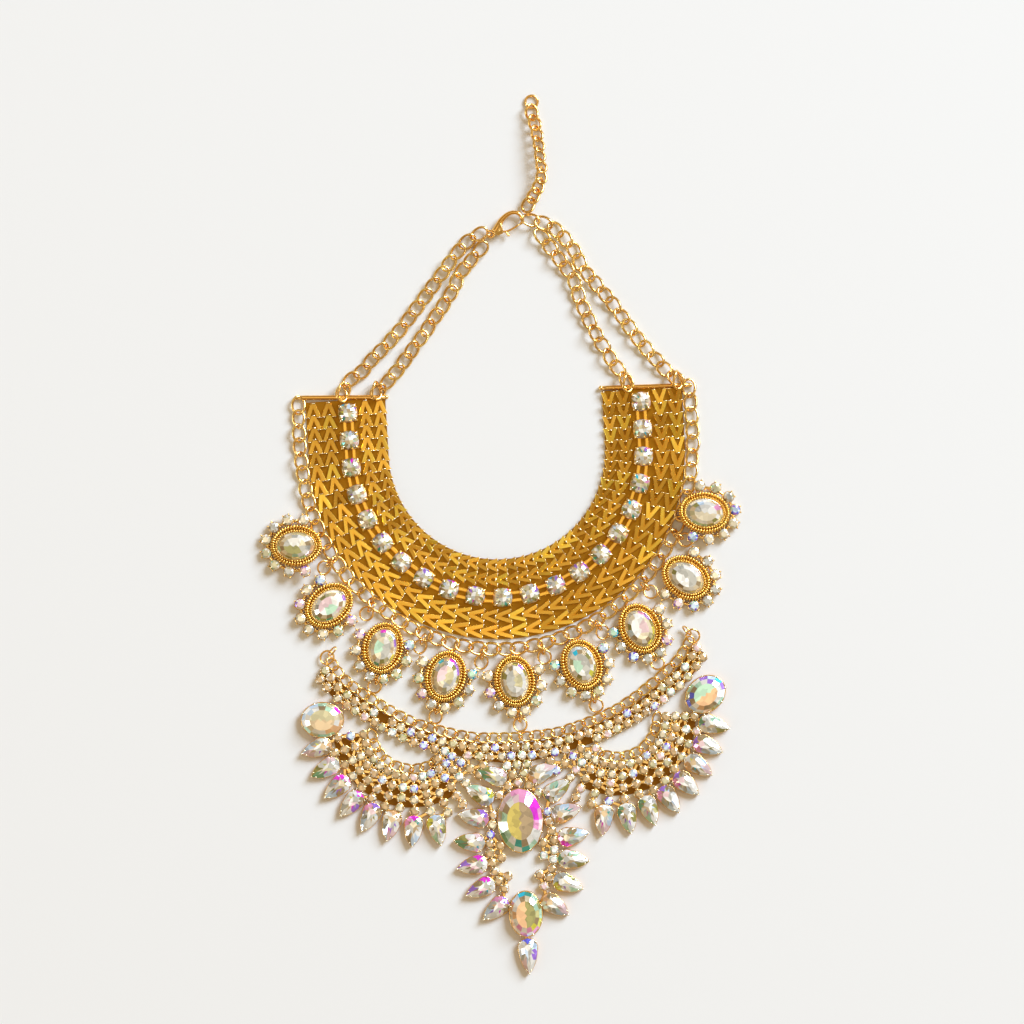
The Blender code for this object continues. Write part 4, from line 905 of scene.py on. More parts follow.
def addRoundStone(stones, cups, place, radius, cut, foils, sides=8):
    foil = chance.choice(foils)
    outline = ovalLine(radius, radius, sides, start=chance.random())
    middles = [(outline[i] + outline[(i + 1) % sides]) / 2 * cut["crownShare"] for i in range(sides)]
    table = [p * cut["tableShare"] for p in outline]
    rings = ((outline, 0.9, cut["foot"]), (outline, 1.0, cut["girdle"]), (middles, 1.1, cut["crown"]),
             (table, 1.0, cut["top"]))
    points = ringsOf(rings, place)
    girdle, crown, edge = sides, 2 * sides, 3 * sides
    faces = [list(range(sides)), [edge + k for k in range(sides)]]
    tones = [toneOf("umber"), toneOf(foil[0])]
    for i in range(sides):
        after, before = (i + 1) % sides, (i - 1) % sides
        faces.append([i, after, girdle + after, girdle + i])
        faces.append([girdle + i, girdle + after, crown + i])
        faces.append([crown + before, girdle + i, crown + i, edge + i])
        faces.append([edge + i, crown + i, edge + after])
        tones += [toneOf(chance.choice(foil)) for _ in range(4)]
    stones.add(points, faces, tones, smooth=False)
    circle = [(p.x, p.y) for p in ovalLine(radius, radius, 12)]
    low, high = cut["foot"] * 0.4, cut["girdle"]
    levels = [(low, 0.75), (low + 0.5, 1.02), (high - 0.35, 1.08), (high - 0.1, 1.08), (high - 0.1, 0.9)]
    addStack(cups, circle, levels, place, smooth=True)


def addProngs(casting, place, radius, look, metal=0):
    for turn in look["turns"]:
        top = place @ Vector((radius * math.cos(turn), radius * math.sin(turn), look["height"]))
        addBall(casting, top, look["size"], 4, 6, metal)


# Degrees for the angles. The lean of each medallion is its turn away from the collar's middle.
medallion = {"halfLength": 11.2, "halfWidth": 9.0, "accents": 8, "spread": 105, "offset": 2.1,
             "accentRadius": 2.3, "firstAngle": -89.0, "step": 17.25, "bandWire": 0.7, "bandHeight": 1.1}
tipping = {"rise": 2.5, "reach": 17.8, "stoneHeight": 4.1}
accentProngs = {"outside": 0.35, "height": 2.1, "size": 0.42, "turns": (0.5, -0.5, 2.3, -2.3)}
medallionLeans = (-24, -5, 18, -1, 3, -2, -12, -1, 9)
medallionLevels = ((0.1, 0.96), (1.5, 1.0), (2.0, 0.96), (2.1, 0.70))
medallionRings = ({"inset": 1.1, "wire": 0.62, "height": 1.95},
                  {"inset": 2.7, "wire": 0.48, "height": 2.65})
medallionRopes = (
    {"inset": 1.15, "height": 2.60, "count": 50, "grain": (1.35, 0.53, 0.95), "slant": math.radians(76)},
    {"inset": 2.65, "height": 3.05, "count": 46, "grain": (0.72, 0.42, 0.55), "slant": math.radians(-62)},
)
medallionLip = {"inset": 3.3, "wire": 0.24, "height": 3.1}
medallionCut = {"shards": True, "foot": 2.0, "girdle": 3.1, "crown": 4.4, "crownShare": 0.86, "top": 5.45,
                "tableShare": 0.62}
medallionTables = (
    ("olive", "white"), ("mint", "palePink"), ("grey", "mint"), ("paleOlive", "palePink"),
    ("paleOlive", "grey"), ("grey", "mint"), ("palePink", "white"), ("grey", "white"), ("white", "cream"),
)


# The two end medallions are tipped up, because they lie partly on the collar's chain.
def medallionFrame(number):
    angle = math.radians(medallion["firstAngle"] + medallion["step"] * (number - 5))
    turn = angle + math.radians(medallionLeans[number - 1])
    middle = centreOf(f"medallion_stone_{number}")
    if number not in (1, 9):
        return placed(middle.x, middle.y, 0, turn)
    tip = math.asin(tipping["rise"] / tipping["reach"])
    shift = medallion["halfLength"] * (1 - math.cos(tip)) + tipping["stoneHeight"] * math.sin(tip)
    flat = placed(middle.x - shift * math.cos(turn), middle.y - shift * math.sin(turn), 0, turn)
    pivot = Matrix.Translation((medallion["halfLength"], 0, 0))
    return flat @ pivot @ Matrix.Rotation(tip, 4, "Y") @ pivot.inverted()


def makeMedallion(number):
    place = medallionFrame(number)
    metal, stone = Casting(), Casting()
    long, wide = medallion["halfLength"], medallion["halfWidth"]
    rim = [(p.x, p.y) for p in ovalLine(long - 0.5, wide - 0.5, 40)]
    # The base and the rings under the ropes are in the darker gold, as painted shade between the ropes.
    addStack(metal, rim, medallionLevels, place, shaded, smooth=True)
    for look in medallionRings:
        line = [place @ p for p in ovalLine(long - look["inset"], wide - look["inset"], 44, look["height"])]
        addTube(metal, line, look["wire"], 8, closed=True, metal=shaded)
    for rope in medallionRopes:
        addRope(metal, place, long - rope["inset"], wide - rope["inset"], rope)
    inset, height = medallionLip["inset"], medallionLip["height"]
    lip = [place @ p for p in ovalLine(long - inset, wide - inset, 48, height)]
    # The lip is in the paler gold, as a painted highlight.
    addTube(metal, lip, medallionLip["wire"], 6, closed=True, metal=highlightMetal)
    table = medallionTables[number - 1]
    addStepStone(stone, ovalLine(long - 3.4, wide - 3.4, 14), medallionCut, place, None, table)
    band = []
    count, spread, size = medallion["accents"], math.radians(medallion["spread"]), medallion["accentRadius"]
    for i in range(count):
        angle = -spread + 2 * spread * i / (count - 1)
        x = (long + medallion["offset"]) * math.cos(angle)
        y = (wide + medallion["offset"]) * math.sin(angle)
        here = place @ placed(x, y, 0.25 * (i % 2), math.atan2(y, x))
        addRoundStone(stone, metal, here, size, accentCut, accentFoils, 10)
        addProngs(metal, here, size + accentProngs["outside"], accentProngs)
        band.append(place @ Vector((x * 0.97, y * 0.97, medallion["bandHeight"])))
    addTube(metal, band, medallion["bandWire"], 7)
    setting, crystal = f"medallion_setting_{number}", f"medallion_stone_{number}"
    makePiece(f"medallionSetting{number}", metal, medallionFinishes, [setting])
    makePiece(f"medallionCrystals{number}", stone, ["largeCrystal"], [crystal])


jumpRing = {"long": 2.9, "wide": 2.75, "wire": 0.42, "height": 1.6}
joinLink = {"long": 2.3, "wide": 1.35, "wire": 0.36, "height": 2.1, "inwards": 3.4}


# Each ring has one small link beside it, towards the middle of the collar.
def jumpRings():
    for number in range(1, 16):
        middle = centreOf(f"jump_ring_{number}")
        outward = Vector((middle.x - collar["x"], middle.y - collar["y"], 0)).normalized()
        turn = turnOf(outward)
        casting = Casting()
        place = placed(middle.x, middle.y, jumpRing["height"], turn)
        place = leaning(place, chance.uniform(-0.35, 0.35), "X")
        place = leaning(place, chance.uniform(-0.25, 0.25), "Y")
        line = [place @ p for p in ovalLine(jumpRing["long"], jumpRing["wide"], 28)]
        addTube(casting, line, jumpRing["wire"], 8, closed=True, upright=place.to_3x3() @ up)
        x, y = middle.x - joinLink["inwards"] * outward.x, middle.y - joinLink["inwards"] * outward.y
        link = leaning(placed(x, y, joinLink["height"], turn), 1.0, "X")
        line = [link @ p for p in ovalLine(joinLink["long"], joinLink["wide"], 22)]
        addTube(casting, line, joinLink["wire"], 7, closed=True, upright=link.to_3x3() @ up)
        makePiece(f"jumpRing{number}", casting, ["rosyGold"], [f"jump_ring_{number}"])


# The fans, with how far each pear stands out, as a share, and its lean in degrees. Then the
# places of the centre's pears, as shares of the centre oval's length, with their direction.
fan = {"x": 43.2, "y": -78.7, "pearRadius": 37.4, "pearFirst": math.radians(-7.6),
       "pearStep": math.radians(-13.36), "chainArc": 16.8}
fanPears = ((0.020, -9), (0.000, -5), (0.000, -3), (0.015, 3), (0.030, 2), (0.040, 2), (0.075, 6),
            (0.100, 2))
centreY, centreLength = -119.6, 27.5
centrePears = ((0.305, 0.680, 23), (0.520, 0.390, 34), (0.622, 0.065, 15), (0.700, -0.298, 8),
               (0.680, -0.632, -9), (0.585, -0.970, -23), (0.385, -1.275, -38))
pear = {"length": 13.6, "radius": 4.1}
drop = {"length": 15.4, "radius": 4.2}
pearSetting = {"wire": 0.22, "wireHeight": 2.0, "tipClaw": 0.46, "tipHeight": 2.3, "sideClaw": 0.44,
               "sideHeight": 2.5, "sideTurn": 2.2}
pearLevels = ((0.1, 0.92), (0.6, 1.0), (1.7, 1.0), (1.8, 0.95))
pearCut = {"foot": 1.2, "girdle": 2.2, "crown": 3.2, "crownShare": 0.76, "top": 4.15, "tableShare": 0.40,
           "centreX": 1.2}

# Foils of the pears, whose facets' colours hold painted glints and fire as well: the table's wedges from the
# tip round, then the facets' from the tip round.
pearFoils = (
    (("taupe", "cream", "grey"), ("blueWhite", "white", "grey", "magenta", "pink", "white", "taupe")),
    (("cream", "white", "grey"), ("white", "olive", "grey", "blueWhite", "lemon", "white", "mint")),
    (("palePink", "grey", "white"), ("white", "violet", "taupe", "magenta", "white", "white", "grey")),
    (("paleOlive", "grey", "white"),
     ("deepGreen", "blueWhite", "white", "grey", "palePink", "white", "olive")),
    (("grey", "champagne", "white"), ("palePink", "white", "taupe", "peach", "white", "grey", "blueWhite")),
    (("grey", "palePink", "white"), ("white", "blueWhite", "grey", "pink", "violet", "taupe", "white")),
    (("white", "grey", "taupe"), ("white", "mint", "white", "deepGreen", "white", "grey", "olive")),
)
dropFoil = (("grey", "white", "blueWhite"),
            ("white", "violet", "blueWhite", "blue", "white", "grey", "palePink"))


def fanPearPlaces(side):
    found = []
    for i, (extra, lean) in enumerate(fanPears):
        angle = fan["pearFirst"] + i * fan["pearStep"]
        reach = fan["pearRadius"] * (1 + extra)
        turn = angle + math.radians(lean)
        x, y = side * (fan["x"] + reach * math.cos(angle)), fan["y"] + reach * math.sin(angle)
        found.append((x, y, turn if side > 0 else math.pi - turn))
    return found


def centrePearPlaces(side):
    found = []
    for across, rise, lean in centrePears:
        turn = math.radians(lean)
        x, y = side * across * centreLength, centreY + rise * centreLength
        found.append((x, y, turn if side > 0 else math.pi - turn))
    return found


def addPear(metal, stone, place, size, foil=None):
    length, radius = size["length"] - 0.3, size["radius"] - 0.05
    line = pearLine(length, radius, 4, 12)
    wide = [(p.x * 1.02, p.y * 1.03) for p in line]
    # The cup is in the darker gold, as painted shade round the stone.
    addStack(metal, wide, pearLevels, place, shaded, smooth=True)
    rim = [place @ (p * 0.99 + up * pearSetting["wireHeight"]) for p in line]
    addTube(metal, rim, pearSetting["wire"], 6, closed=True)
    table, ring = foil or chance.choice(pearFoils)
    if chance.random() < 0.5:
        ring = ring[:1] + ring[:0:-1]
    addStone(stone, pearLine(length, radius, 2, 6), pearCut, place, 0.2, table, ring)
    tip = length - radius
    # The claws are in the paler gold, as painted highlights.
    for x, y in ((tip - 0.2, 0.0), (tip - 1.7, 1.05), (tip - 1.7, -1.05)):
        claw = place @ Vector((x, y, pearSetting["tipHeight"]))
        addBall(metal, claw, pearSetting["tipClaw"], 5, 8, highlightMetal)
    for turn in (pearSetting["sideTurn"], -pearSetting["sideTurn"]):
        reach = radius + 0.05
        claw = place @ Vector((reach * math.cos(turn), reach * math.sin(turn), pearSetting["sideHeight"]))
        addBall(metal, claw, pearSetting["sideClaw"], 5, 8, highlightMetal)


def pearRows():
    for word, side in (("Left", -1), ("Right", 1)):
        for group, places in (("fan", fanPearPlaces(side)), ("centre", centrePearPlaces(side))):
            metal, stone = Casting(), Casting()
            for x, y, turn in places:
                addPear(metal, stone, placed(x, y, 0, turn), pear)
            node = f"{group}_pears_{word.lower()}"
            makePiece(f"{group}PearSettings{word}", metal, fringeFinishes, [node])
            makePiece(f"{group}PearCrystals{word}", stone, ["largeCrystal"], [])


ovalCut = {"shards": False, "foot": 1.4, "girdle": 2.7, "crown": 4.1, "crownShare": 0.84, "top": 5.4,
           "tableShare": 0.60}
ovalLevels = ((0.1, 0.94), (0.7, 0.99), (2.0, 0.985), (2.2, 0.95))
ovalClaw = ((1.03, 1.2), (1.03, 2.5), (0.985, 3.1))
ovalClawRadii = (0.48, 0.46, 0.34)
ovalRim = {"wire": 0.27, "height": 2.4}
# Each oval's two table colours, and the colours round its rows of facets, which are painted fire and glints.
ovals = {
    "centreOval": {"node": "centre_oval", "long": 13.75, "wide": 9.75, "turn": 90, "sides": 16,
                   "table": ("oliveYellow", "taupe"),
                   "rim": ("pink", "palePink", "palePink", "paleOlive", "mint", "deepGreen", "mint",
                           "white", "teal", "mint", "white", "palePink", "pink", "magenta", "magenta",
                           "pink")},
    "sideOvalLeft": {"node": "side_oval_left", "long": 9.2, "wide": 7.6, "turn": -3, "sides": 14,
                     "table": ("paleOlive", "champagne"),
                     "rim": ("champagne", "magenta", "paleOlive", "mint", "blueWhite", "white", "blueWhite",
                             "white", "mint", "paleOlive", "deepGreen", "mint", "peach", "peach")},
    "sideOvalRight": {"node": "side_oval_right", "long": 9.2, "wide": 7.6, "turn": 34, "sides": 14,
                      "table": ("mint", "peach"),
                      "rim": ("cyan", "blueWhite", "violet", "white", "mint", "paleOlive", "blue",
                              "blueWhite", "white", "peach", "olive", "mint", "white", "violet")},
    "lowerOval": {"node": "lower_oval_with_drop", "long": 9.85, "wide": 7.2, "turn": 90, "sides": 14,
                  "table": ("peach", "olive"),
                  "rim": ("cyan", "blueWhite", "peach", "cream", "peach", "champagne", "pink", "white",
                          "pink", "lemon", "mint", "olive", "mint", "teal")},
}


# The lower oval's node holds the drop too, so its place is counted from the node's upper end.
def ovalPlace(look):
    if look["node"].startswith("lower"):
        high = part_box(look["node"])[1]
        return placed(0, high.y / mm - look["long"], 0, math.radians(look["turn"]))
    middle = centreOf(look["node"])
    return placed(middle.x, middle.y, 0, math.radians(look["turn"]))


def addOval(metal, stone, place, look):
    long, wide = look["long"] - 0.35, look["wide"] - 0.35
    rim = [(p.x, p.y) for p in ovalLine(look["long"], look["wide"], 36)]
    # The cup is in the darker gold, as painted shade round the stone.
    addStack(metal, rim, ovalLevels, place, shaded, smooth=True)
    line = [place @ p for p in ovalLine(long, wide, 44, ovalRim["height"])]
    addTube(metal, line, ovalRim["wire"], 6, closed=True)
    addStepStone(stone, ovalLine(long, wide, look["sides"]), ovalCut, place, look["rim"], look["table"])
    # The claws are in the paler gold, as painted highlights.
    for i in range(8):
        t = math.pi * (i + 0.5) / 4
        claw = []
        for share, z in ovalClaw:
            claw.append(place @ Vector((share * long * math.cos(t), share * wide * math.sin(t), z)))
        addTube(metal, claw, ovalClawRadii, 7, metal=highlightMetal)


def ovalStones():
    for name, look in ovals.items():
        metal, stone = Casting(), Casting()
        place = ovalPlace(look)
        addOval(metal, stone, place, look)
        if name == "lowerOval":
            foot = place.translation.y - look["long"]
            hanging = placed(0, foot - drop["radius"] - 0.3, 0, -math.pi / 2)
            addPear(metal, stone, hanging, drop, dropFoil)
            start, end = Vector((0, foot + hangBar["above"], 0)), Vector((0, foot - hangBar["below"], 0))
            addBar(metal, start, end, hangBar["width"], hangBar["low"], hangBar["high"])
        makePiece(f"{name}Setting", metal, fringeFinishes, [look["node"]])
        makePiece(f"{name}Crystal", stone, ["largeCrystal"], [])


# The rows of small stones: on the rays of the fans, below the swag chain and beside the pears.
# Each row below the swag has its distance and how far from the middle it reaches.
fieldRows = {"fanFirst": 20.3, "fanStep": 3.7, "fanMost": 38.0, "fanRays": 14, "firstRay": -3.0,
             "rayStep": 10.7, "swagSpacing": 4.3, "stoneRadius": 1.9, "join": 6.2, "apart": 3.5,
             "pearSeat": 5.8, "besideSpacing": 4.0, "nudge": 0.2}
rowBar = {"width": 1.4, "low": 0.4, "high": 1.4}
seatBar = {"width": 1.3, "low": 0.3, "high": 1.2, "reach": 9, "inwards": 2.0}
hangBar = {"width": 1.8, "low": 0.3, "high": 1.6, "above": 1.0, "below": 2.0}
smallProngs = {"radius": 2.0, "height": 2.1, "size": 0.34, "turns": (0.8, 2.4, 3.9, 5.5)}
swagRows = ((4.2, 99), (7.9, 99), (11.6, 30), (15.3, 19), (19.0, 9))


def fanFieldPlaces(side):
    found = []
    centre = Vector((side * fan["x"], fan["y"], 0))
    for ray in range(fieldRows["fanRays"]):
        angle = math.radians(fieldRows["firstRay"] - fieldRows["rayStep"] * ray)
        out = Vector((side * math.cos(angle), math.sin(angle), 0))
        limit = fieldRows["fanFirst"]
        while limit < fieldRows["fanMost"] and clearOfBig(centre + out * (limit + 0.2)):
            limit += 0.2
        span = limit - fieldRows["fanFirst"]
        count = max(1, int(span / fieldRows["fanStep"]))
        for i in range(count + 1):
            found.append(centre + out * (fieldRows["fanFirst"] + span * i / count))
    return found


# The way down across the swag chain, for a direction along it.
def belowSwag(direction):
    down = Vector((direction.y, -direction.x, 0))
    return down if down.y < 0 else -down


def swagFieldPlaces(side):
    found = []
    walk = walkRoute([(side * x, y) for x, y in swagHalf()], fieldRows["swagSpacing"] / 2)
    for i, (point, direction) in enumerate(walk):
        for row, (offset, reach) in enumerate(swagRows):
            if row % 2 != i % 2 or abs(point.x) > reach:
                continue
            nudge = Vector((chance.gauss(0, fieldRows["nudge"]), chance.gauss(0, fieldRows["nudge"]), 0))
            found.append(point + belowSwag(direction) * offset + nudge)
    return found


def centreFieldPlaces(side):
    seats = []
    for x, y, turn in centrePearPlaces(side):
        reach = fieldRows["pearSeat"]
        seats.append((x - reach * math.cos(turn), y - reach * math.sin(turn)))
    found = [point for point, _ in walkRoute(seats, fieldRows["besideSpacing"])]
    found += [Vector((x - side * 4.1, y + 1.2, 0)) for x, y in seats[4:]]
    big = ovals["centreOval"]
    for i in range(24):
        t = math.pi * (0.72 * i / 23 - 0.22)
        x, y = (big["wide"] + 1.9) * math.cos(t), (big["long"] + 1.9) * math.sin(t)
        found.append(Vector((side * x, centreY + y, 0)))
    return found


# What a pear keeps free round its round end and beside its taper, and an oval round itself.
room = {"pear": 5.7, "pearTip": 9.6, "pearSide": 5.5, "taper": 0.46, "oval": 1.5}


# Tells whether a small stone has room at a point beside the pears and the ovals.
def clearOfBig(point):
    for x, y, turn in allPears:
        local = placed(x, y, 0, turn).inverted() @ point
        beside = abs(local.y) < room["pearSide"] - local.x * room["taper"]
        if local.length < room["pear"] or (0 < local.x < room["pearTip"] and beside):
            return False
    for look in ovals.values():
        local = ovalPlace(look).inverted() @ point
        long, wide = look["long"] + room["oval"], look["wide"] + room["oval"]
        if (local.x / long) ** 2 + (local.y / wide) ** 2 < 1:
            return False
    return True


allPears = [p for side in (-1, 1) for p in fanPearPlaces(side) + centrePearPlaces(side)]


# The places of one side that have room. "taken" gathers those of both sides.
def keptPlaces(side, taken):
    kept = []
    for point in fanFieldPlaces(side) + swagFieldPlaces(side) + centreFieldPlaces(side):
        near = any((point - other).length < fieldRows["apart"] for other in taken)
        if clearOfBig(point) and not near and point.x * side > -0.5:
            kept.append(point)
            taken.append(point)
    return kept


def addFieldBars(metal, kept, side):
    for i, point in enumerate(kept):
        for other in kept[i + 1:]:
            if (point - other).length < fieldRows["join"]:
                addBar(metal, point, other, rowBar["width"], rowBar["low"], rowBar["high"])
    for x, y, turn in fanPearPlaces(side) + centrePearPlaces(side):
        back = seatBar["inwards"]
        seat = Vector((x - back * math.cos(turn), y - back * math.sin(turn), 0))
        for other in sorted(kept, key=lambda point: (point - seat).length)[:2]:
            if (other - seat).length < seatBar["reach"]:
                addBar(metal, seat, other, seatBar["width"], seatBar["low"], seatBar["high"])


fanShadeSheet = {"near": 18.6, "far": 33.0, "first": -1, "sweep": 122, "steps": 26}


def stoneFields():
    taken = []
    for word, side in (("Left", -1), ("Right", 1)):
        metal, stone = Casting(), Casting()
        kept = keptPlaces(side, taken)
        for point in kept:
            place = placed(point.x, point.y, 0, chance.random() * 3)
            addRoundStone(stone, metal, place, fieldRows["stoneRadius"], smallCut, smallFoils)
            # The prongs are in the paler gold, as painted highlights.
            addProngs(metal, place, smallProngs["radius"], smallProngs, highlightMetal)
        addFieldBars(metal, kept, side)
        makePiece(f"fringeCups{word}", metal, fringeFinishes, [f"stone_rows_{word.lower()}"])
        makePiece(f"fringeCrystals{word}", stone, ["smallCrystal"], [])
        # The sheet under the fan's stones is painted shade between them.
        shadeSheet = Casting()
        centre = Vector((side * fan["x"], fan["y"], 0))
        edges = []
        for i in range(fanShadeSheet["steps"] + 1):
            angle = math.radians(fanShadeSheet["first"] - fanShadeSheet["sweep"] * i / fanShadeSheet["steps"])
            out = Vector((side * math.cos(angle), math.sin(angle), 0))
            edges.append((centre + out * fanShadeSheet["near"], centre + out * fanShadeSheet["far"]))
        addSheet(shadeSheet, edges, 0.05, 0.35)
        makePiece(f"fanShadeSheet{word}", shadeSheet, ["fieldShadeGold"])
    # The sheet under the swag's rows is painted shade between the stones.
    shadeSheet = Casting()
    edges = []
    for point, direction in walkRoute(swagPoints(), 3.0):
        down = belowSwag(direction)
        reach = 8.8 + 2.4 * max(0.0, 1 - abs(point.x) / 20)
        edges.append((point + down * 2.4, point + down * reach))
    addSheet(shadeSheet, edges, 0.02, 0.30)
    makePiece("swagShadeSheet", shadeSheet, ["fieldShadeGold"])


# The fans' arcs of chain, which stop where they would lie on the swag chain's rows.
def fanChains():
    swagLine = [p for p, _ in walkRoute(swagPoints(), 2.0)]
    for word, side in (("Left", -1), ("Right", 1)):
        points = []
        for step in range(-180, 1, 3):
            angle = math.radians(step)
            x = side * (fan["x"] + fan["chainArc"] * math.cos(angle))
            here = Vector((x, fan["y"] + fan["chainArc"] * math.sin(angle), 0))
            if min((here - p).length for p in swagLine) > 12.5:
                points.append(here)
        casting = Casting()
        addChain(casting, walkRoute(points, fineLink["pitch"]), fineLink)
        makePiece(f"fanChain{word}", casting, ["rosyGold"], [f"fan_chain_{word.lower()}"])


# The clasp's hook and lever are bent wires that end between two cheeks.
clasp = {"x": 3.6, "y": 127.2, "z": 2.2, "turn": math.radians(21.7), "hingeX": 2.2, "hingeY": -0.4}
cheek = {"height": 1.1, "half": 0.25, "bevelled": 0.15}
pin = {"half": 1.45, "radius": 0.4}
eye = {"x": -1.5, "radius": 1.45, "wire": 0.42}
swivel = {"radius": 1.7, "wire": 0.4}
hub = {"radius": 1.2, "half": 0.5, "bevelled": 0.4}
hookLine = ((0.6, 0.2), (2.6, 1.6), (5.3, 3.5), (8.5, 4.5), (11.1, 4.15), (12.8, 2.7), (13.25, 0.6),
            (12.7, -0.9), (11.6, -1.45))
hookRadii = (1.55, 1.45, 1.15, 0.95, 0.85, 0.82, 0.76, 0.66, 0.50)
cheekLine = ((-0.2, -0.9), (1.2, -1.9), (3.2, -1.9), (3.9, -0.6), (4.3, 2.2), (3.4, 2.9), (1.6, 1.9),
             (-0.2, 0.8))
leverLine = ((0.0, 0.0), (2.2, -1.25), (4.6, -1.5), (7.0, -1.3), (8.7, -1.0))
leverRadii = (0.50, 0.48, 0.44, 0.42, 0.36)
nubLine = ((2.4, -1.3), (2.7, -2.4), (2.9, -3.3))
nubRadii = (0.46, 0.46, 0.52)


# A smooth curve through the points and the radius at each place on it.
def curveThrough(points, radii, pieces=5):
    knots = knotsOf([Vector((x, y, 0)) for x, y in points])
    line, sizes = [], []
    for n, (a, b, c, d) in enumerate(zip(knots, knots[1:], knots[2:], knots[3:])):
        for i in range(pieces):
            t = i / pieces
            line.append(curvePoint(a, b, c, d, t))
            sizes.append(radii[n] * (1 - t) + radii[n + 1] * t)
    return line + [knots[-2]], sizes + [radii[-1]]


# A flat disc or cheek about the height "z", with its edges bevelled to the share.
def bevelledLevels(look, z, share):
    return ((z - look["half"], share), (z - look["bevelled"], 1.0), (z + look["bevelled"], 1.0),
            (z + look["half"], share))


def claspBody(place, hinge):
    casting = Casting()
    line, radii = curveThrough(hookLine, hookRadii)
    addTube(casting, [place @ p for p in line], radii, 12)
    addBall(casting, place @ line[0], radii[0], 6, 12)
    addBall(casting, place @ line[-1], radii[-1] * 1.02, 6, 12)
    for z in (-cheek["height"], cheek["height"]):
        addStack(casting, cheekLine, bevelledLevels(cheek, z, 0.96), place, smooth=True)
    line = [hinge @ Vector((0, 0, z)) for z in (-pin["half"], 0, pin["half"])]
    addTube(casting, line, pin["radius"], 10, upright=Vector((1, 0, 0)))
    middle = place @ placed(eye["x"], 0)
    line = [middle @ p for p in ovalLine(eye["radius"], eye["radius"], 24)]
    addTube(casting, line, eye["wire"], 8, closed=True)
    makePiece("claspBody", casting, ["rosyGold"], ["clasp_body"])


def claspLever(hinge):
    casting = Casting()
    line, radii = curveThrough(leverLine, leverRadii)
    addTube(casting, [hinge @ p for p in line], radii, 10)
    addBall(casting, hinge @ line[-1], 0.37, 6, 10)
    disc = [(p.x, p.y) for p in ovalLine(hub["radius"], hub["radius"], 20)]
    addStack(casting, disc, bevelledLevels(hub, 0, 0.92), hinge, smooth=True)
    nub, radii = curveThrough(nubLine, nubRadii)
    addTube(casting, [hinge @ p for p in nub], radii, 10)
    addBall(casting, hinge @ nub[-1], 0.55, 6, 10)
    makePiece("claspLever", casting, ["rosyGold"], ["clasp_lever"], body="lever")


def swivelRing():
    casting = Casting()
    middle = centreOf("swivel_ring")
    stand = leaning(placed(middle.x, middle.y, middle.z, clasp["turn"]), math.pi / 2, "X")
    line = [stand @ p for p in ovalLine(swivel["radius"], swivel["radius"], 24)]
    addTube(casting, line, swivel["wire"], 8, closed=True, upright=uprightOf(stand))
    makePiece("swivelRing", casting, ["rosyGold"], ["swivel_ring"])


def makeClasp():
    place = placed(clasp["x"], clasp["y"], clasp["z"], clasp["turn"])
    hinge = place @ placed(clasp["hingeX"], clasp["hingeY"])
    claspBody(place, hinge)
    claspLever(hinge)
    swivelRing()


# A large cool light from the upper right gives the shadows, and a warm sky fills them. Metres.
studio = {"floor": (0.84, 0.84, 0.84), "halfWidth": 2.0, "drop": 0.0001, "sky": (1.0, 0.72, 0.36),
          "skyStrength": 0.40}
softboxes = {
    "keyLight": {"at": (4.9, 4.2, 4.0), "size": (3.6, 3.6), "watts": 905, "tint": (0.70, 0.84, 1.0)},
    "topLight": {"at": (-0.3, 0.2, 2.6), "size": (1.4, 1.4), "watts": 5, "tint": (1.0, 0.93, 0.80)},
    "rightStrip": {"at": (1.9, -0.4, 0.56), "size": (0.3, 1.4), "watts": 2.5, "tint": (1.0, 0.97, 0.92)},
    "leftStrip": {"at": (-1.7, -0.6, 0.60), "size": (0.3, 1.2), "watts": 5.0, "tint": (0.94, 0.97, 1.0)},
}


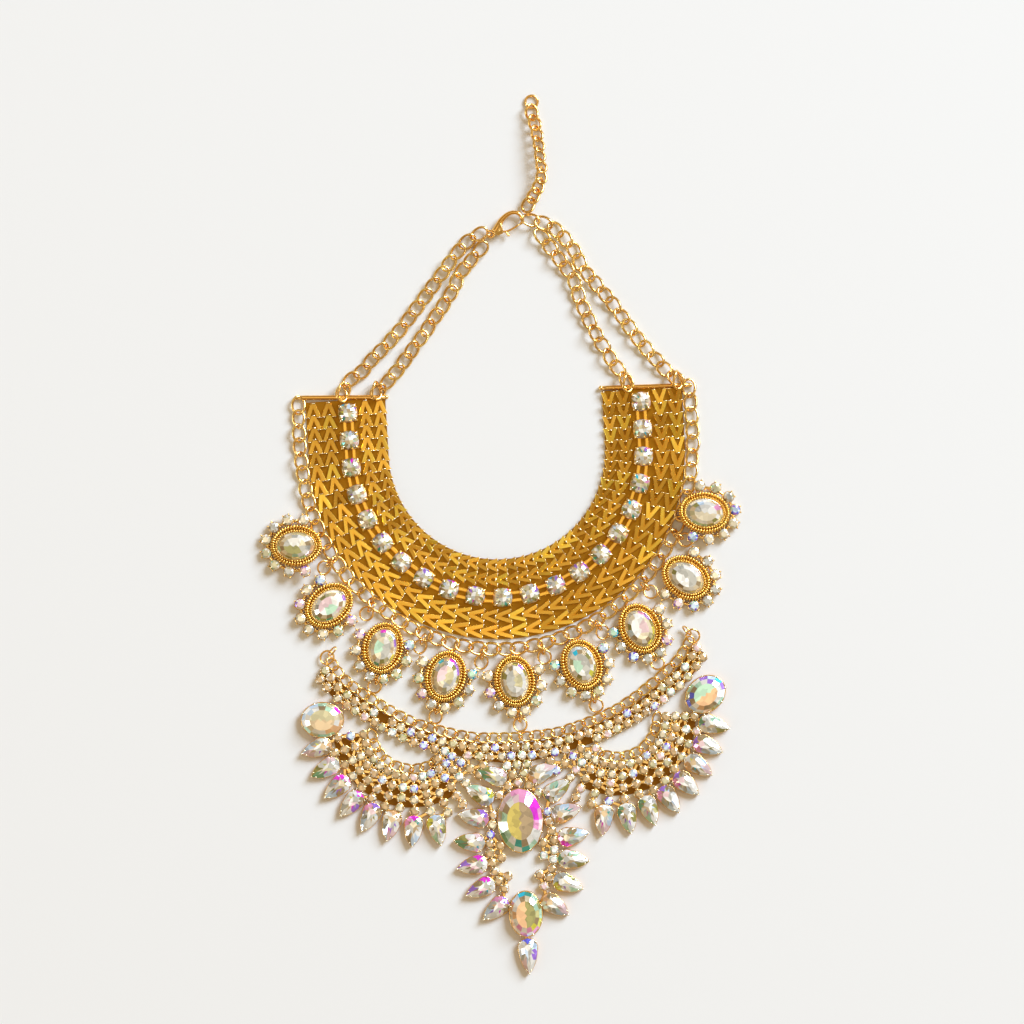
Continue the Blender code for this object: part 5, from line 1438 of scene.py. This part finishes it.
def makeFloor():
    shape = bmesh.new()
    bmesh.ops.create_grid(shape, x_segments=1, y_segments=1, size=studio["halfWidth"])
    mesh = bpy.data.meshes.new("floor")
    shape.to_mesh(mesh)
    shape.free()
    floor = bpy.data.objects.new("floor", mesh)
    floor.location.z = -studio["drop"]
    bpy.context.scene.collection.objects.link(floor)
    shader = newFinish("paleFloor")[1]
    shader.inputs["Base Color"].default_value = (*studio["floor"], 1)
    shader.inputs["Roughness"].default_value = 0.7
    shader.inputs["Specular IOR Level"].default_value = 0.2
    mesh.materials.append(bpy.data.materials["paleFloor"])


def makeLights():
    world = bpy.data.worlds.new("studioAir")
    world.use_nodes = True
    air = world.node_tree.nodes["Background"]
    air.inputs["Color"].default_value = (*studio["sky"], 1)
    air.inputs["Strength"].default_value = studio["skyStrength"]
    bpy.context.scene.world = world
    for name, look in softboxes.items():
        light = bpy.data.lights.new(name, "AREA")
        light.shape = "RECTANGLE"
        light.size, light.size_y = look["size"]
        light.energy = look["watts"]
        light.color = look["tint"]
        lamp = bpy.data.objects.new(name, light)
        lamp.location = look["at"]
        lamp.rotation_mode = "QUATERNION"
        lamp.rotation_quaternion = (-Vector(look["at"])).to_track_quat("-Z", "Y")
        bpy.context.scene.collection.objects.link(lamp)


# Straight above, turned a little, as the photograph was taken. Millimetres.
camera = {"x": 4.2, "y": 9.75, "height": 1600.0, "viewWidth": 430.1, "roll": math.radians(-3.4)}


def makeCamera():
    data = bpy.data.cameras.new("camera")
    data.lens = data.sensor_width * camera["height"] / camera["viewWidth"]
    data.clip_end = 10
    made = bpy.data.objects.new("camera", data)
    made.location = (camera["x"] * mm, camera["y"] * mm, camera["height"] * mm)
    made.rotation_euler = (0, 0, camera["roll"])
    bpy.context.scene.collection.objects.link(made)
    bpy.context.scene.camera = made


makeFinishes()
makeFloor()
makeLights()
makeCamera()
collarPlates()
collarRow()
print("collar made")
endRods()
backChains()
collarChain()
swagChain()
fanChains()
tailChain()
print("chains made")
for number in range(1, 10):
    makeMedallion(number)
jumpRings()
print("medallions made")
pearRows()
ovalStones()
stoneFields()
print("fringe made")
makeClasp()
print("clasp made")
bpy.context.scene.view_settings.view_transform = "Standard"
